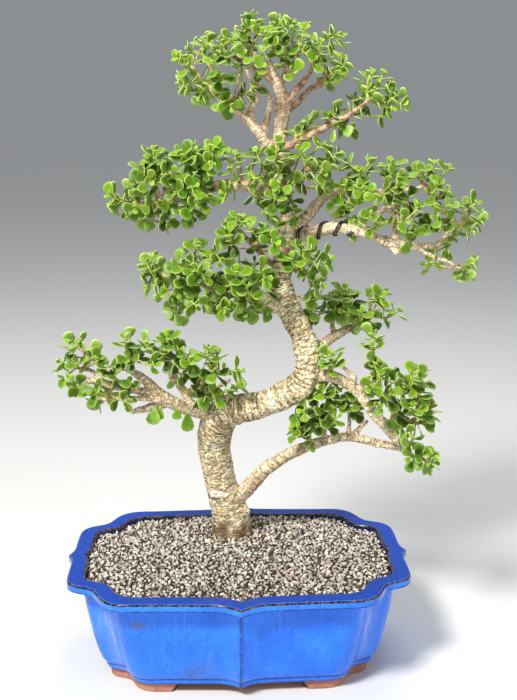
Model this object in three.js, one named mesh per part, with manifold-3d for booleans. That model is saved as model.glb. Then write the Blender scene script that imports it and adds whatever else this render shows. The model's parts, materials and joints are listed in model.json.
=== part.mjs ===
// A dwarf jade bonsai in its lobed, blue glazed pot: millimetres, +Z up, the pot's long front facing -Y.
import * as THREE from "three";
import { mergeVertices } from "three/addons/utils/BufferGeometryUtils.js";
import Module from "manifold-3d";

// Pot: the plan is a long rectangle with lobed corners, and each side swells to a pointed cusp at its middle.
const RIM_TOP = 113;
const FOOT_HEIGHT = 10;
const END_X = 173; // half the length, beside the end cusps
const END_LOBE_Y = 80; // half the width of the end lobes
const LONG_LOBE_X = 140; // half the length of the front and back lobes
const FRONT_Y = 121; // half the depth, at the corners of the front and back lobes
const NOTCH_RADIUS = 14;
const END_CORNER_RADIUS = END_X - LONG_LOBE_X - NOTCH_RADIUS;
const LONG_CORNER_RADIUS = FRONT_Y - END_LOBE_Y - NOTCH_RADIUS;
const END_CUSP = { out: 5, reach: 22 };
const FRONT_CUSP = { out: 11, reach: 28 };
const FRONT_BOW = 5;
const RIM_WIDTH = 17;
// Each step of a profile is [inset from the rim's outer edge, height].
const OUTER_WALL = [
  [35, FOOT_HEIGHT], [29.5, 17], [25, 30], [21.5, 46], [18, 70], [16, 92], [14.5, 102], [0, 105], [0, 111],
  [1.5, RIM_TOP],
];
const INNER_WALL = [[RIM_WIDTH, RIM_TOP], [22, 96], [29, 46], [38, 25], [48, 19]];
const UNDERSIDE_INSET = 46;
const FOOT = { outer: 36, flare: 2, inner: 51, fromX: 63, fromY: 30, bevel: 4, intoBase: 1 };
const DRAIN = { x: 70, radius: 11, sides: 12 };

// What fills the pot
const GAP = 0.3; // between pieces that touch
const DRAIN_MESH = { side: 44, thickness: 1.2, hole: 8, pitch: 13, holesAcross: 3 };
const SOIL_TOP = 96;
const GRIT_EDGE = { inset: 21, height: 108.5 };
const GRIT_CROWN = { inset: 60, height: 111 };
// Roots fan out forwards from the foot of the trunk, between two turns in degrees from the right. Those that run
// across the pot are shorter: across is their length as a share.
const ROOTS = {
  count: 5, turns: [-195, 15], reach: 74, across: 0.62, startZ: 100, drop: 46, curve: 1.4, radius: 8, taper: 0.75,
};

// Wood: the sides of its tubes, and the radius from which a limb counts as thick
const SIDES = { thick: 10, thin: 7, thickFrom: 12 };

// Twigs and leaves
const STEM = { ownShare: 0.85, half: 1.45, clearOfWood: 5, reach: 0.7, leastStep: 4 };
const TWIG = { half: 1.1, endHalf: 0.88, joint: 2.6, perJoint: 3, leastFacing: 0.05 };
const LEAF = { length: 15.5, width: 12, thickness: 1.7, widestAt: 0.6, endShare: 0.5 };
const PAIR = { spread: 0.75, ahead: 0.6, sizes: [0.9, 1], lastSize: 0.8 };
const AIR = 0.12; // least distance between a leaf and anything else
const DIRECTION_COUNT = 160; // directions in which two blocks are tried for a gap

// Branch wire: two strands side by side, wound as one flat band that starts on top of its branch
const WIRE = { strand: 2, turns: 3, stepsPerTurn: 10, fromPoint: 0.12, toPoint: 3.25, shoulder: 0.6 };

// The tree's points were read off a front view, [across, down, depth, thickness], with across, down and
// thickness in pixels of a 517 by 700 picture and depth in millimetres behind the middle of the pot, which
// is turned a little in that view.
const VIEW = {
  focal: 1100, across: 258.5, down: 350, pitch: 13, turn: 2.3, distance: 1160, drop: 212.5, shift: 21.3,
};

const TRUNK = [
  [232.5, 556, 63, 44], [232.5, 537, 62, 40], [231, 520, 59, 38], [227.5, 503, 54, 34.5],
  [220.5, 480, 47, 30.5], [216, 460, 41, 31.5], [214.5, 441, 34, 33], [217, 424, 26, 35],
  [227, 412, 17, 33], [243, 408.5, 9, 29.5], [262, 404, 3, 27.5], [282, 396, -2, 27.5], [299, 386, -5, 28],
  [307, 371, -6, 27], [307, 355, -4, 26], [304, 340, 0, 25], [297.5, 325, 5, 23.5], [289, 309, 10, 24.5],
  [283, 293, 13, 25], [280, 274, 14, 19], [282, 254, 12, 17], [289, 235, 9, 19], [288, 218, 8, 15.5],
  [286, 200, 6, 14], [283, 180, 6, 13.5], [280, 160, 5, 13.5], [280, 142, 4, 14], [281, 125, 3, 14.5],
  [282.5, 107, 1, 15], [280, 92, -1, 13], [276, 80, -3, 10], [270, 66, -6, 8], [267, 57, -8, 6],
];

// Each branch is its main limb and then its side limbs.
const BRANCHES = {
  lower_left: [
    [[209, 414, 22, 15], [197, 411, 15, 13.5], [184, 407.5, 8, 14], [171, 401.5, 1, 13.5],
      [159, 393.5, -4, 12], [149, 384, -8, 10.5], [140, 376.5, -10, 9], [130, 370, -11, 6]],
    [[166, 399, -1, 9], [150, 393.5, -8, 9], [135, 390, -12, 8], [119, 387.5, -16, 7.5],
      [103, 382.5, -18, 8], [92, 380.5, -19, 7], [81, 383, -19, 4.5]],
    [[168, 403, 0, 9], [151, 407, -7, 8.5], [133, 411.7, -11, 6]],
    [[193, 406, 10, 8.5], [185, 393, 12, 8.5], [176, 380, 14, 8], [170, 374, 14.5, 6], [169.5, 358, 14, 4]],
    [[203, 408, 20, 7], [207, 396, 25, 6], [217, 387, 30, 5], [229, 380, 34, 4]],
    [[160, 401, -8, 6], [142, 398.5, -16, 5.5], [124, 398.5, -20, 5], [108, 399, -22, 4.5],
      [97, 398.5, -23, 4]],
    [[101, 380, -18, 5], [92, 371, -20, 4.5], [82, 369, -21, 3.5]],
  ],
  lower_right: [
    [[236, 499, 52, 18], [252, 483, 43, 15.5], [266, 469, 35, 14], [282, 458, 28, 12.5],
      [298, 450, 21, 11.5], [314, 444, 15, 10.5], [330, 440, 10, 9.5], [345, 437, 6, 9], [361, 439, 2, 8.5],
      [377, 443, 0, 8.5], [391, 446, -1, 8], [403, 450, -3, 5], [414, 457, -5, 3.5]],
    [[348, 437, 6, 5.5], [349, 424, 9, 4.5], [349, 409, 12, 4]],
    [[324, 440, 10, 5], [325, 430, 14, 4], [322, 420, 18, 3.5]],
    [[352, 436, 5, 6], [360, 428, 6, 5.5], [367, 421.5, 7, 4]],
  ],
  right_mid: [
    [[313, 375, -5, 15], [330, 376, -10, 12.5], [344, 382, -14, 11.5], [357, 391, -18, 11],
      [367, 404, -20, 11], [377, 417, -22, 11], [388, 428, -23, 11.5], [396, 440, -23, 9]],
    [[352, 388, -17, 7], [364, 386, -19, 6], [372, 379, -21, 5], [374, 363, -21, 4]],
    [[384, 424, -22, 8], [398, 427, -19, 6], [409, 422, -17, 4.5], [417, 418, -16, 3.5]],
    [[350, 385, -17, 6], [354, 378, -20, 6.5], [342, 366, -23, 3.5]],
    [[389, 428, -21, 8], [393, 417, -18, 6.5]],
  ],
  right_back: [
    [[312, 352, 4, 11], [330, 339, 18, 10], [344, 331, 28, 9], [356, 325, 34, 7], [368, 318, 38, 5],
      [379, 310, 40, 4]],
    [[334, 336, 22, 7], [332, 323, 30, 5], [335, 311, 36, 4]],
  ],
  middle_left: [
    [[285, 306, 12, 18], [275, 306.5, 5, 15], [266, 301.5, -2, 14], [256, 296.5, -7, 12],
      [243, 294, -12, 10], [229, 292, -15, 8.5], [212, 288, -19, 8], [198, 281.5, -21, 7.5],
      [184, 282, -22, 8], [176, 285, -22, 7]],
  ],
  upper_left: [
    [[286, 192, 6, 15], [262, 187.5, 8, 12.5], [245, 186, 9, 12], [228, 184.5, 10, 11.5],
      [214, 187, 10, 10.5], [193, 195.5, 9, 9], [172, 201.5, 7, 7], [150, 204, 5, 5.5], [133, 203, 3, 4]],
    [[164, 200, 8, 7], [166, 190, 10, 7], [167.5, 177, 12, 5.5]],
    [[206, 189, 10, 8], [210, 176, 14, 8], [208.5, 160, 16, 6]],
    [[160, 203, 6, 6.5], [157, 193, 3, 6.5], [153, 181, 2, 5.5]],
    [[241, 184, 10, 7], [240, 172, 8, 5.5], [239, 159, 6, 4]],
  ],
  upper_right: [
    [[294, 229, 8, 14], [308, 215, 10, 12], [322, 199, 14, 10.5], [340, 191, 20, 8], [362, 190, 26, 7],
      [385, 192, 30, 6], [405, 190, 32, 5], [424, 187, 31, 4]],
  ],
  wired_right: [
    [[297, 237, 8, 16], [318, 231, 1, 13.5], [335, 228, -5, 12.5], [350, 229.5, -9, 11],
      [363, 233, -12, 8.5], [375, 237, -13, 8], [386, 241.5, -14, 11], [397, 245, -15, 12],
      [412, 246, -15, 8.5], [432, 246, -14, 7.5], [443, 241, -13, 6.5], [449, 231, -12, 5.5],
      [458, 225, -12, 4.5]],
    [[396, 244, -14, 9], [396, 232, -12, 8], [395.5, 220, -8, 7.5], [396, 210, -5, 7], [393, 201, -2, 5]],
    [[408, 244, -16, 6], [422, 251, -20, 4.5], [436, 258, -23, 4], [449, 262, -25, 3.5], [459, 269, -26, 3]],
    [[387, 241, -15, 8], [396, 253, -19, 6.5]],
    [[395, 213, -6, 6], [386, 209, -4, 6], [377, 214, -2, 5.5]],
    [[396, 212, -6, 6], [404, 208, -8, 5], [412, 204, -9, 4]],
  ],
  apex_left: [
    [[278, 152, 4, 13], [266, 143, -1, 11.5], [259, 132, -4, 10.5], [249, 122, -7, 9], [240, 114, -10, 6],
      [227, 105, -13, 4.5], [216, 96, -15, 4], [208, 83, -16, 3.5]],
    [[252, 124, -5, 9], [250, 111, 2, 8.5], [256, 97, 8, 7], [252, 84, 12, 5], [246, 70, 15, 4]],
    [[264, 138, 1, 7], [266, 122, 6, 7], [270, 106, 10, 6.5], [267, 92, 13, 5], [258, 84, 15, 4]],
  ],
};

// A pad of foliage is an egg shape: [across, down, half width, half height] and its half depth and depth.
const PADS = {
  lower_left: [145, 375, 105, 55, 48, -2],
  middle_left: [235, 272, 100, 62, 52, -8],
  upper_left: [170, 187, 68, 42, 40, 8],
  centre: [292, 182, 60, 56, 42, 2],
  upper_right: [410, 212, 78, 62, 44, 4],
  right_back: [352, 310, 52, 28, 26, 36],
  right_mid: [388, 398, 52, 70, 34, -16],
  lower_right: [328, 412, 50, 40, 32, 14],
  apex: [262, 62, 90, 55, 50, 0],
  top_right: [362, 105, 50, 40, 26, -10],
};
// How far towards the front of its pad each shoot in turn ends, from 1, the front, to -1, the back.
const SHOOT_DEPTHS = [0.85, 0.1, -0.7, 0.5, -0.25];

// A spray is one side shoot with its twigs and leaves: [name, the wood it grows on, its pad, its shoots' ends].
const SPRAYS = [
  ["lower_left_tip", "lower_left", "lower_left", [[70, 345], [61, 363], [99, 360], [65, 379], [81, 391]]],
  ["lower_left_front", "lower_left", "lower_left",
    [[91, 401], [116, 373], [105, 394], [129, 385], [125, 402]]],
  ["lower_left_crown", "lower_left", "lower_left",
    [[125, 339], [128, 359], [148, 348], [108, 366], [154, 365]]],
  ["lower_left_rise", "lower_left", "lower_left",
    [[167, 338], [178, 350], [161, 360], [188, 356], [184, 376]]],
  ["lower_left_inner", "lower_left", "lower_left", [[207, 351], [198, 385], [238, 371], [223, 371]]],
  ["middle_left_tip", "middle_left", "middle_left",
    [[147, 263], [149, 275], [149, 288], [159, 270], [186, 270]]],
  ["middle_left_low", "middle_left", "middle_left",
    [[167, 293], [174, 314], [189, 309], [205, 300], [189, 281]]],
  ["middle_left_high", "middle_left", "middle_left",
    [[195, 269], [186, 251], [206, 263], [216, 251], [211, 279]]],
  ["middle_left_front", "middle_left", "middle_left",
    [[224, 308], [217, 303], [221, 288], [236, 272], [233, 284]]],
  ["middle_left_root", "middle_left", "middle_left",
    [[247, 286], [246, 311], [266, 309], [272, 287], [255, 263]]],
  ["middle_upper", "trunk", "middle_left", [[240, 219], [222, 243], [277, 225], [253, 245], [274, 243]]],
  ["middle_front", "trunk", "middle_left", [[291, 259], [300, 248], [327, 259], [310, 290], [298, 270]]],
  ["upper_left_tip", "upper_left", "upper_left",
    [[111, 196], [142, 193], [143, 217], [157, 203], [170, 220]]],
  ["upper_left_high", "upper_left", "upper_left",
    [[154, 153], [143, 167], [142, 177], [157, 175], [171, 173]]],
  ["upper_left_crown", "upper_left", "upper_left",
    [[180, 153], [183, 161], [197, 170], [217, 149], [209, 166]]],
  ["upper_left_front", "upper_left", "upper_left",
    [[193, 187], [174, 192], [204, 186], [207, 197], [193, 212]]],
  ["upper_left_root", "upper_left", "centre", [[225, 194], [236, 157], [259, 199], [268, 210], [276, 196]]],
  ["centre_left", "trunk", "centre", [[257, 154], [252, 178], [272, 180], [279, 143], [283, 166]]],
  ["centre_right", "trunk", "centre",
    [[300, 152], [319, 146], [322, 173], [340, 156], [291, 178], [309, 178],
    [324, 189], [295, 216]]],
  ["upper_right_root", "upper_right", "upper_right",
    [[342, 210], [349, 218], [347, 163], [371, 161], [365, 178],
    [359, 201]]],
  ["upper_right_high", "upper_right", "upper_right",
    [[392, 163], [388, 180], [377, 199], [395, 199], [398, 187]]],
  ["upper_right_tip", "upper_right", "upper_right",
    [[412, 173], [431, 166], [446, 169], [444, 192], [431, 193]]],
  ["wired_right_rise", "wired_right", "upper_right",
    [[357, 233], [385, 222], [404, 221], [408, 243], [418, 207]]],
  ["wired_right_tip", "wired_right", "upper_right",
    [[447, 205], [429, 224], [453, 237], [434, 250], [462, 206],
    [475, 204], [478, 221], [469, 231]]],
  ["wired_right_low", "wired_right", "upper_right",
    [[431, 262], [465, 265], [472, 262], [463, 275], [470, 271]]],
  ["right_back_rise", "right_back", "right_back",
    [[350, 295], [329, 299], [317, 299], [312, 316], [344, 312]]],
  ["right_back_tip", "right_back", "right_back",
    [[360, 313], [349, 321], [370, 324], [369, 296], [397, 311]]],
  ["right_mid_rise", "right_mid", "right_mid",
    [[326, 352], [373, 339], [376, 363], [396, 382], [372, 388]]],
  ["right_mid_front", "right_mid", "right_mid",
    [[391, 394], [380, 397], [401, 402], [411, 408], [403, 415]]],
  ["right_mid_high", "right_mid", "right_mid",
    [[413, 374], [421, 378], [409, 387], [420, 386], [419, 394]]],
  ["right_mid_tip", "right_mid", "right_mid", [[421, 411], [431, 408], [420, 423], [399, 429], [413, 442]]],
  ["lower_right_tip", "lower_right", "right_mid", [[423, 454], [427, 463], [411, 457]]],
  ["lower_right_high", "lower_right", "lower_right",
    [[336, 395], [344, 387], [336, 405], [356, 411], [317, 394]]],
  ["lower_right_rise", "lower_right", "lower_right",
    [[304, 410], [316, 407], [325, 409], [322, 422], [336, 418]]],
  ["lower_right_front", "lower_right", "lower_right", [[306, 426], [296, 433], [309, 441], [297, 421]]],
  ["apex_left_tip", "apex_left", "apex", [[183, 83], [193, 89], [206, 94], [195, 75], [188, 66]]],
  ["apex_left_high", "apex_left", "apex", [[180, 57], [208, 41], [203, 55], [215, 61], [223, 78]]],
  ["apex_left_front", "apex_left", "apex", [[248, 92], [224, 100], [241, 65], [256, 81], [260, 68]]],
  ["apex_top", "trunk", "apex",
    [[231, 40], [216, 50], [226, 55], [250, 17], [260, 28], [245, 31], [253, 43]]],
  ["apex_crown", "trunk", "apex", [[281, 25], [294, 25], [268, 45], [283, 45], [288, 58]]],
  ["apex_right", "trunk", "apex", [[304, 30], [313, 61], [316, 46], [303, 51], [306, 76]]],
  ["apex_rear", "trunk", "apex", [[337, 37], [344, 65], [318, 50], [329, 80], [291, 86]]],
  ["top_right", "trunk", "top_right", [[308, 123], [296, 133], [337, 108], [349, 129], [354, 99], [382, 76],
    [387, 89], [402, 106], [385, 116]]],
];

// The sprays that grow on the trunk by a stem of their own, [across, down, depth, thickness].
const STEMS = {
  middle_upper: [[280, 266, 14, 8], [269, 262, 4, 7], [259, 251, -6, 6], [249, 241, -12, 5],
    [241, 232, -15, 4]],
  middle_front: [[282, 260, 12, 8], [292, 264, -8, 6.5], [303, 265, -22, 5], [312, 262, -30, 4]],
  centre_left: [[287, 203, 4, 6], [272, 190, -12, 5], [264, 171, -24, 4]],
  centre_right: [[284, 186, 6, 8], [293, 182, -10, 7], [302, 173, -21, 5.5], [312, 165, -28, 4]],
  top_right: [[281, 149, 4, 8], [300, 141, -3, 8], [315, 133, -7, 8], [334, 122, -10, 7],
    [348, 115.5, -12, 6], [360, 107, -13, 4.5], [371, 98, -14, 3.5]],
  apex_right: [[282, 108, 1, 9], [291, 97, -4, 8], [301, 85, -7, 7], [310, 72, -9, 5]],
  apex_rear: [[284, 112, 4, 8], [297, 103, 10, 7], [307, 92, 13, 6], [321, 80, 15, 5], [329, 73, 16, 4]],
  apex_top: [[278, 84, -3, 8], [266, 76, -8, 6], [250, 66, -12, 5], [235, 57, -14, 4]],
  apex_crown: [[279, 88, -2, 7], [284, 78, -6, 6.5], [290, 69, -9, 6], [296, 60, -11, 5], [299, 52, -12, 4]],
};

const UP = new THREE.Vector3(0, 0, 1);
const THINNEST_PAD = 0.04; // the least share of a pad's half depth, squared, that its shoots keep to

const wasm = await Module();
wasm.setup();

function material(color, roughness) {
  return new THREE.MeshStandardMaterial({ color, roughness, metalness: 0 });
}
const GLAZE = material(0x2f66cc, 0.2);
const PLASTIC = material(0x202020, 0.7);
const SOIL = material(0x4a3a2c, 0.95);
const GRIT = material(0xa09488, 0.9);
const BARK = material(0xa58e6a, 0.85);
const JADE = material(0x5c9c33, 0.4);
const WIRE_COAT = material(0x161616, 0.5);

// A point of the front view in millimetres, with the view's millimetres per pixel there as scale.
function place(across, down, depth) {
  const [pitch, turn] = [VIEW.pitch, VIEW.turn].map(THREE.MathUtils.degToRad);
  const slope = (VIEW.down - down) / VIEW.focal;
  const rise =
    (slope * (VIEW.distance + depth * Math.cos(pitch)) + VIEW.drop - depth * Math.sin(pitch)) /
    (Math.cos(pitch) + slope * Math.sin(pitch));
  const away = VIEW.distance + depth * Math.cos(pitch) - rise * Math.sin(pitch);
  const x = ((across - VIEW.across) * away) / VIEW.focal + VIEW.shift;
  const at = new THREE.Vector3(x, depth, rise + RIM_TOP).applyAxisAngle(UP, -turn);
  return { at, scale: away / VIEW.focal };
}

// A row of readings as points with radii.
function limbPoints(readings) {
  return readings.map(([across, down, depth, thickness]) => {
    const { at, scale } = place(across, down, depth);
    return { at, radius: (thickness / 2) * scale };
  });
}

// A closed geometry through rings of equally many points, with a fan over each end.
function loft(rings) {
  const count = rings[0].length;
  const points = rings.flat();
  const faces = [];
  rings.slice(1).forEach((ring, row) => {
    for (let i = 0; i < count; i++) {
      const a = row * count + i;
      const b = row * count + ((i + 1) % count);
      faces.push(a, b, b + count, a, b + count, a + count);
    }
  });
  const middle = (ring) =>
    ring.reduce((sum, point) => sum.add(point), new THREE.Vector3()).divideScalar(count);
  const last = (rings.length - 1) * count;
  points.push(middle(rings[0]), middle(rings.at(-1)));
  for (let i = 0; i < count; i++) {
    const next = (i + 1) % count;
    faces.push(points.length - 2, next, i, points.length - 1, last + i, last + next);
  }
  return new THREE.BufferGeometry().setFromPoints(points).setIndex(faces);
}

// A closed geometry as a solid for cutting and joining, turned right side out.
function solid(geometry) {
  const bare = geometry.clone();
  bare.deleteAttribute("normal");
  bare.deleteAttribute("uv");
  const merged = mergeVertices(bare, 1e-4);
  const triVerts = new Uint32Array(merged.index.array);
  const make = () =>
    new wasm.Manifold(new wasm.Mesh({ numProp: 3, vertProperties: merged.attributes.position.array, triVerts }));
  const made = make();
  if (made.volume() > 0) return made;
  for (let i = 0; i < triVerts.length; i += 3) {
    [triVerts[i], triVerts[i + 1]] = [triVerts[i + 1], triVerts[i]];
  }
  return make();
}

function largestBody(made) {
  return made.decompose().reduce((best, body) => (body.volume() > best.volume() ? body : best));
}

function meshOf(name, made, finish) {
  const { numProp, numVert, vertProperties, triVerts } = made.getMesh();
  const position = new Float32Array(numVert * 3);
  for (let i = 0; i < numVert; i++) {
    position.set(vertProperties.subarray(i * numProp, i * numProp + 3), i * 3);
  }
  const geometry = new THREE.BufferGeometry()
    .setAttribute("position", new THREE.BufferAttribute(position, 3))
    .setIndex(new THREE.BufferAttribute(triVerts, 1));
  geometry.computeVertexNormals();
  const mesh = new THREE.Mesh(geometry, finish);
  mesh.name = name;
  return mesh;
}

function swell(distance, { out, reach }) {
  return out * Math.max(0, 1 - distance / reach) ** 2;
}

// A quarter of the pot's plan, from the end cusp to the back cusp.
function quarterPlan() {
  const points = [0, 10, END_CUSP.reach].map((y) => [END_X + swell(y, END_CUSP), y]);
  const arc = (x, y, radius, degrees) =>
    degrees.forEach((turn) => {
      const angle = THREE.MathUtils.degToRad(turn);
      points.push([x + radius * Math.cos(angle), y + radius * Math.sin(angle)]);
    });
  arc(END_X - END_CORNER_RADIUS, END_LOBE_Y - END_CORNER_RADIUS, END_CORNER_RADIUS, [0, 45, 90]);
  arc(LONG_LOBE_X + NOTCH_RADIUS, END_LOBE_Y + NOTCH_RADIUS, NOTCH_RADIUS, [-135, -180]);
  arc(LONG_LOBE_X - LONG_CORNER_RADIUS, FRONT_Y - LONG_CORNER_RADIUS, LONG_CORNER_RADIUS, [45, 90]);
  [70, FRONT_CUSP.reach, 12, 0].forEach((x) => {
    const bow = FRONT_BOW * (1 - x / (LONG_LOBE_X - LONG_CORNER_RADIUS)) ** 1.5;
    points.push([x, FRONT_Y + bow + swell(x, FRONT_CUSP)]);
  });
  return points;
}

const PLAN = (() => {
  const quarter = quarterPlan();
  const inner = quarter.slice(1, -1);
  const flip = (points, signX, signY) => points.map(([x, y]) => [signX * x, signY * y]);
  return [
    quarter[0], ...inner, quarter.at(-1), ...flip([...inner].reverse(), -1, 1), ...flip([quarter[0]], -1, 1),
    ...flip(inner, -1, -1), ...flip([quarter.at(-1)], 1, -1), ...flip([...inner].reverse(), 1, -1),
  ];
})();

// The plan drawn in by an inset: lobes and cusps keep their shape.
function planRing(inset, z) {
  const scaleX = 1 - inset / END_X;
  const scaleY = 1 - inset / FRONT_Y;
  return PLAN.map(([x, y]) => new THREE.Vector3(x * scaleX, y * scaleY, z));
}

// A foot follows one corner of the base, from the front or back round to the end, and its ends slope in.
function foot(signX, signY) {
  const top = FOOT_HEIGHT + FOOT.intoBase;
  const outer = solid(loft([planRing(FOOT.outer + FOOT.flare, 0), planRing(FOOT.outer, top)]));
  const inner = solid(loft([planRing(FOOT.inner, -1), planRing(FOOT.inner, top + 1)]));
  const corner = (draw, z) =>
    [[0, 0], [1, 0], [1, 1], [0, 1]].map(([x, y]) =>
      new THREE.Vector3(signX * (FOOT.fromX + draw + x * END_X), signY * (FOOT.fromY + draw + y * FRONT_Y), z));
  const reach = solid(loft([corner(FOOT.bevel, 0), corner(0, top + 1)]));
  return outer.subtract(inner).intersect(reach);
}

function drainHole(side) {
  const plug = new THREE.CylinderGeometry(DRAIN.radius, DRAIN.radius, 2 * RIM_TOP, DRAIN.sides);
  return solid(plug.rotateX(Math.PI / 2).translate(side * DRAIN.x, 0, 0));
}

function pot() {
  const profile = [[UNDERSIDE_INSET, FOOT_HEIGHT], ...OUTER_WALL, ...INNER_WALL];
  let body = solid(loft(profile.map(([inset, z]) => planRing(inset, z))));
  [[1, 1], [-1, 1], [-1, -1], [1, -1]].forEach(([x, y]) => {
    body = body.add(foot(x, y));
  });
  return body.subtract(drainHole(1)).subtract(drainHole(-1));
}

const FLOOR_Z = INNER_WALL.at(-1)[1];

// A square of plastic mesh over one drain hole.
function drainMesh(side) {
  const { side: width, thickness, hole, pitch, holesAcross } = DRAIN_MESH;
  const middleZ = FLOOR_Z + GAP + thickness / 2;
  const plate = solid(new THREE.BoxGeometry(width, width, thickness).translate(side * DRAIN.x, 0, middleZ));
  const first = (-(holesAcross - 1) * pitch) / 2;
  return Array.from({ length: holesAcross ** 2 }, (_, i) => {
    const x = side * DRAIN.x + first + (i % holesAcross) * pitch;
    const y = first + Math.floor(i / holesAcross) * pitch;
    return solid(new THREE.BoxGeometry(hole, hole, 3 * thickness).translate(x, y, middleZ));
  }).reduce((left, opening) => left.subtract(opening), plate);
}

// Directions carried along a limb without twisting: for each point one forward, one to the side and one up.
function framesAlong(points) {
  let side = null;
  return points.map((point, i) => {
    const from = points[Math.max(i - 1, 0)];
    const to = points[Math.min(i + 1, points.length - 1)];
    const forward = to.clone().sub(from).normalize();
    side ??= new THREE.Vector3(0, 1, 0).addScaledVector(forward, -forward.y);
    side = side.clone().addScaledVector(forward, -side.dot(forward)).normalize();
    return { point, forward, side, up: forward.clone().cross(side) };
  });
}

// The rings of a round limb, swollen by extra.
function limbRings(limb, sides, extra = 0) {
  return framesAlong(limb.map(({ at }) => at)).map(({ point, side, up }, row) =>
    Array.from({ length: sides }, (_, i) => {
      const angle = (2 * Math.PI * i) / sides;
      const radius = limb[row].radius + extra;
      return point.clone()
        .addScaledVector(side, radius * Math.cos(angle))
        .addScaledVector(up, radius * Math.sin(angle));
    }),
  );
}

// The roots run out and down through the soil from the foot of the trunk.
function roots() {
  const foot = limbPoints([TRUNK[0]])[0].at;
  return Array.from({ length: ROOTS.count }, (_, i) => {
    const turn = THREE.MathUtils.degToRad(THREE.MathUtils.lerp(...ROOTS.turns, i / (ROOTS.count - 1)));
    const reach = ROOTS.reach * (ROOTS.across + (1 - ROOTS.across) * Math.abs(Math.cos(turn)));
    return [0, 0.4, 0.75, 1].map((along) => ({
      at: new THREE.Vector3(
        foot.x + reach * along * Math.cos(turn),
        foot.y + reach * along * Math.sin(turn),
        ROOTS.startZ - ROOTS.drop * along ** ROOTS.curve,
      ),
      radius: ROOTS.radius * (1 - ROOTS.taper * along),
    }));
  });
}

// Directions spread evenly over a half sphere
const DIRECTIONS = (() => {
  const golden = Math.PI * (3 - Math.sqrt(5));
  return Array.from({ length: DIRECTION_COUNT }, (_, i) => {
    const z = (i + 0.5) / DIRECTION_COUNT;
    const r = Math.sqrt(1 - z * z);
    return new THREE.Vector3(r * Math.cos(golden * i), r * Math.sin(golden * i), z);
  });
})();
// Every piece already made, as small convex blocks of points that later twigs and leaves keep clear of
const blocks = [];

function block(points) {
  const centre = points.reduce((sum, p) => sum.add(p), new THREE.Vector3()).divideScalar(points.length);
  const reach = Math.max(...points.map((p) => p.distanceTo(centre)));
  return { points, centre, reach };
}

function apart(a, b) {
  return DIRECTIONS.some((direction) => {
    const [alongA, alongB] = [a, b].map(({ points }) => points.map((p) => p.dot(direction)));
    return (
      Math.min(...alongA) > Math.max(...alongB) + AIR || Math.min(...alongB) > Math.max(...alongA) + AIR
    );
  });
}

function isClear(candidate, joined) {
  return blocks.every(
    (other) =>
      joined.includes(other) ||
      other.centre.distanceTo(candidate.centre) > other.reach + candidate.reach + AIR ||
      apart(candidate, other),
  );
}

function registerLimb(rings) {
  rings.slice(1).forEach((ring, row) => blocks.push(block([...rings[row], ...ring])));
}

// A mesh that grows by drawing out its own four-sided faces, so that it stays one closed body.
class Growth {
  points = [];
  faces = new Set();

  face(corners) {
    const made = { corners };
    this.faces.add(made);
    return made;
  }

  centre({ corners }) {
    return corners.reduce((sum, i) => sum.add(this.points[i]), new THREE.Vector3()).divideScalar(4);
  }

  normal({ corners }) {
    const [a, b, c, d] = corners.map((i) => this.points[i]);
    return c.clone().sub(a).cross(d.clone().sub(b)).normalize();
  }

  start(point, forward, half) {
    const side = new THREE.Vector3(0, 1, 0).addScaledVector(forward, -forward.y).normalize();
    const up = forward.clone().cross(side);
    const corners = [[-1, -1], [1, -1], [1, 1], [-1, 1]].map(([s, u]) => {
      this.points.push(point.clone().addScaledVector(side, s * half).addScaledVector(up, u * half));
      return this.points.length - 1;
    });
    this.face([...corners].reverse());
    return this.face(corners);
  }

  // Draws a face out to a new one at centre, facing along forward, and returns the new face and its sides.
  extrude(face, centre, forward, halfU, halfV = halfU) {
    const turn = new THREE.Quaternion().setFromUnitVectors(this.normal(face), forward);
    const [a, b, c] = face.corners.map((i) => this.points[i]);
    const u = b.clone().sub(a).normalize().applyQuaternion(turn);
    const v = c.clone().sub(b).normalize().applyQuaternion(turn);
    const corners = [[-1, -1], [1, -1], [1, 1], [-1, 1]].map(([s, t]) => {
      this.points.push(centre.clone().addScaledVector(u, s * halfU).addScaledVector(v, t * halfV));
      return this.points.length - 1;
    });
    this.faces.delete(face);
    const sides = [0, 1, 2, 3].map((i) => {
      const next = (i + 1) % 4;
      return this.face([face.corners[i], face.corners[next], corners[next], corners[i]]);
    });
    const made = this.face(corners);
    made.sides = sides;
    made.block = block([...face.corners, ...corners].map((i) => this.points[i].clone()));
    return made;
  }

  geometry() {
    const all = [];
    this.faces.forEach(({ corners: [a, b, c, d] }) => all.push(a, b, c, a, c, d));
    return new THREE.BufferGeometry().setFromPoints(this.points).setIndex(all);
  }
}

// One leaf drawn out of a face along a direction: a blade that widens to its round end.
function leaf(growth, face, direction, wide, size, joined) {
  const base = growth.centre(face);
  const [a, b] = face.corners.map((i) => growth.points[i]);
  const wideIsU = Math.abs(b.clone().sub(a).normalize().dot(wide)) > Math.SQRT1_2;
  const halfWidth = (LEAF.width * size) / 2;
  const halfThickness = LEAF.thickness / 2;
  const halves = (w, t) => (wideIsU ? [w, t] : [t, w]);
  const at = (along) => base.clone().addScaledVector(direction, LEAF.length * size * along);
  const before = { points: growth.points.length, faces: new Set(growth.faces) };
  const blade = growth.extrude(face, at(LEAF.widestAt), direction, ...halves(halfWidth, halfThickness));
  const endHalves = halves(halfWidth * LEAF.endShare, halfThickness * LEAF.endShare);
  const end = growth.extrude(blade, at(1), direction, ...endHalves);
  const shape = block([...blade.block.points, ...end.block.points]);
  if (isClear(shape, joined)) {
    blocks.push(shape);
    return;
  }
  growth.points.length = before.points;
  growth.faces = before.faces;
}

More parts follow.
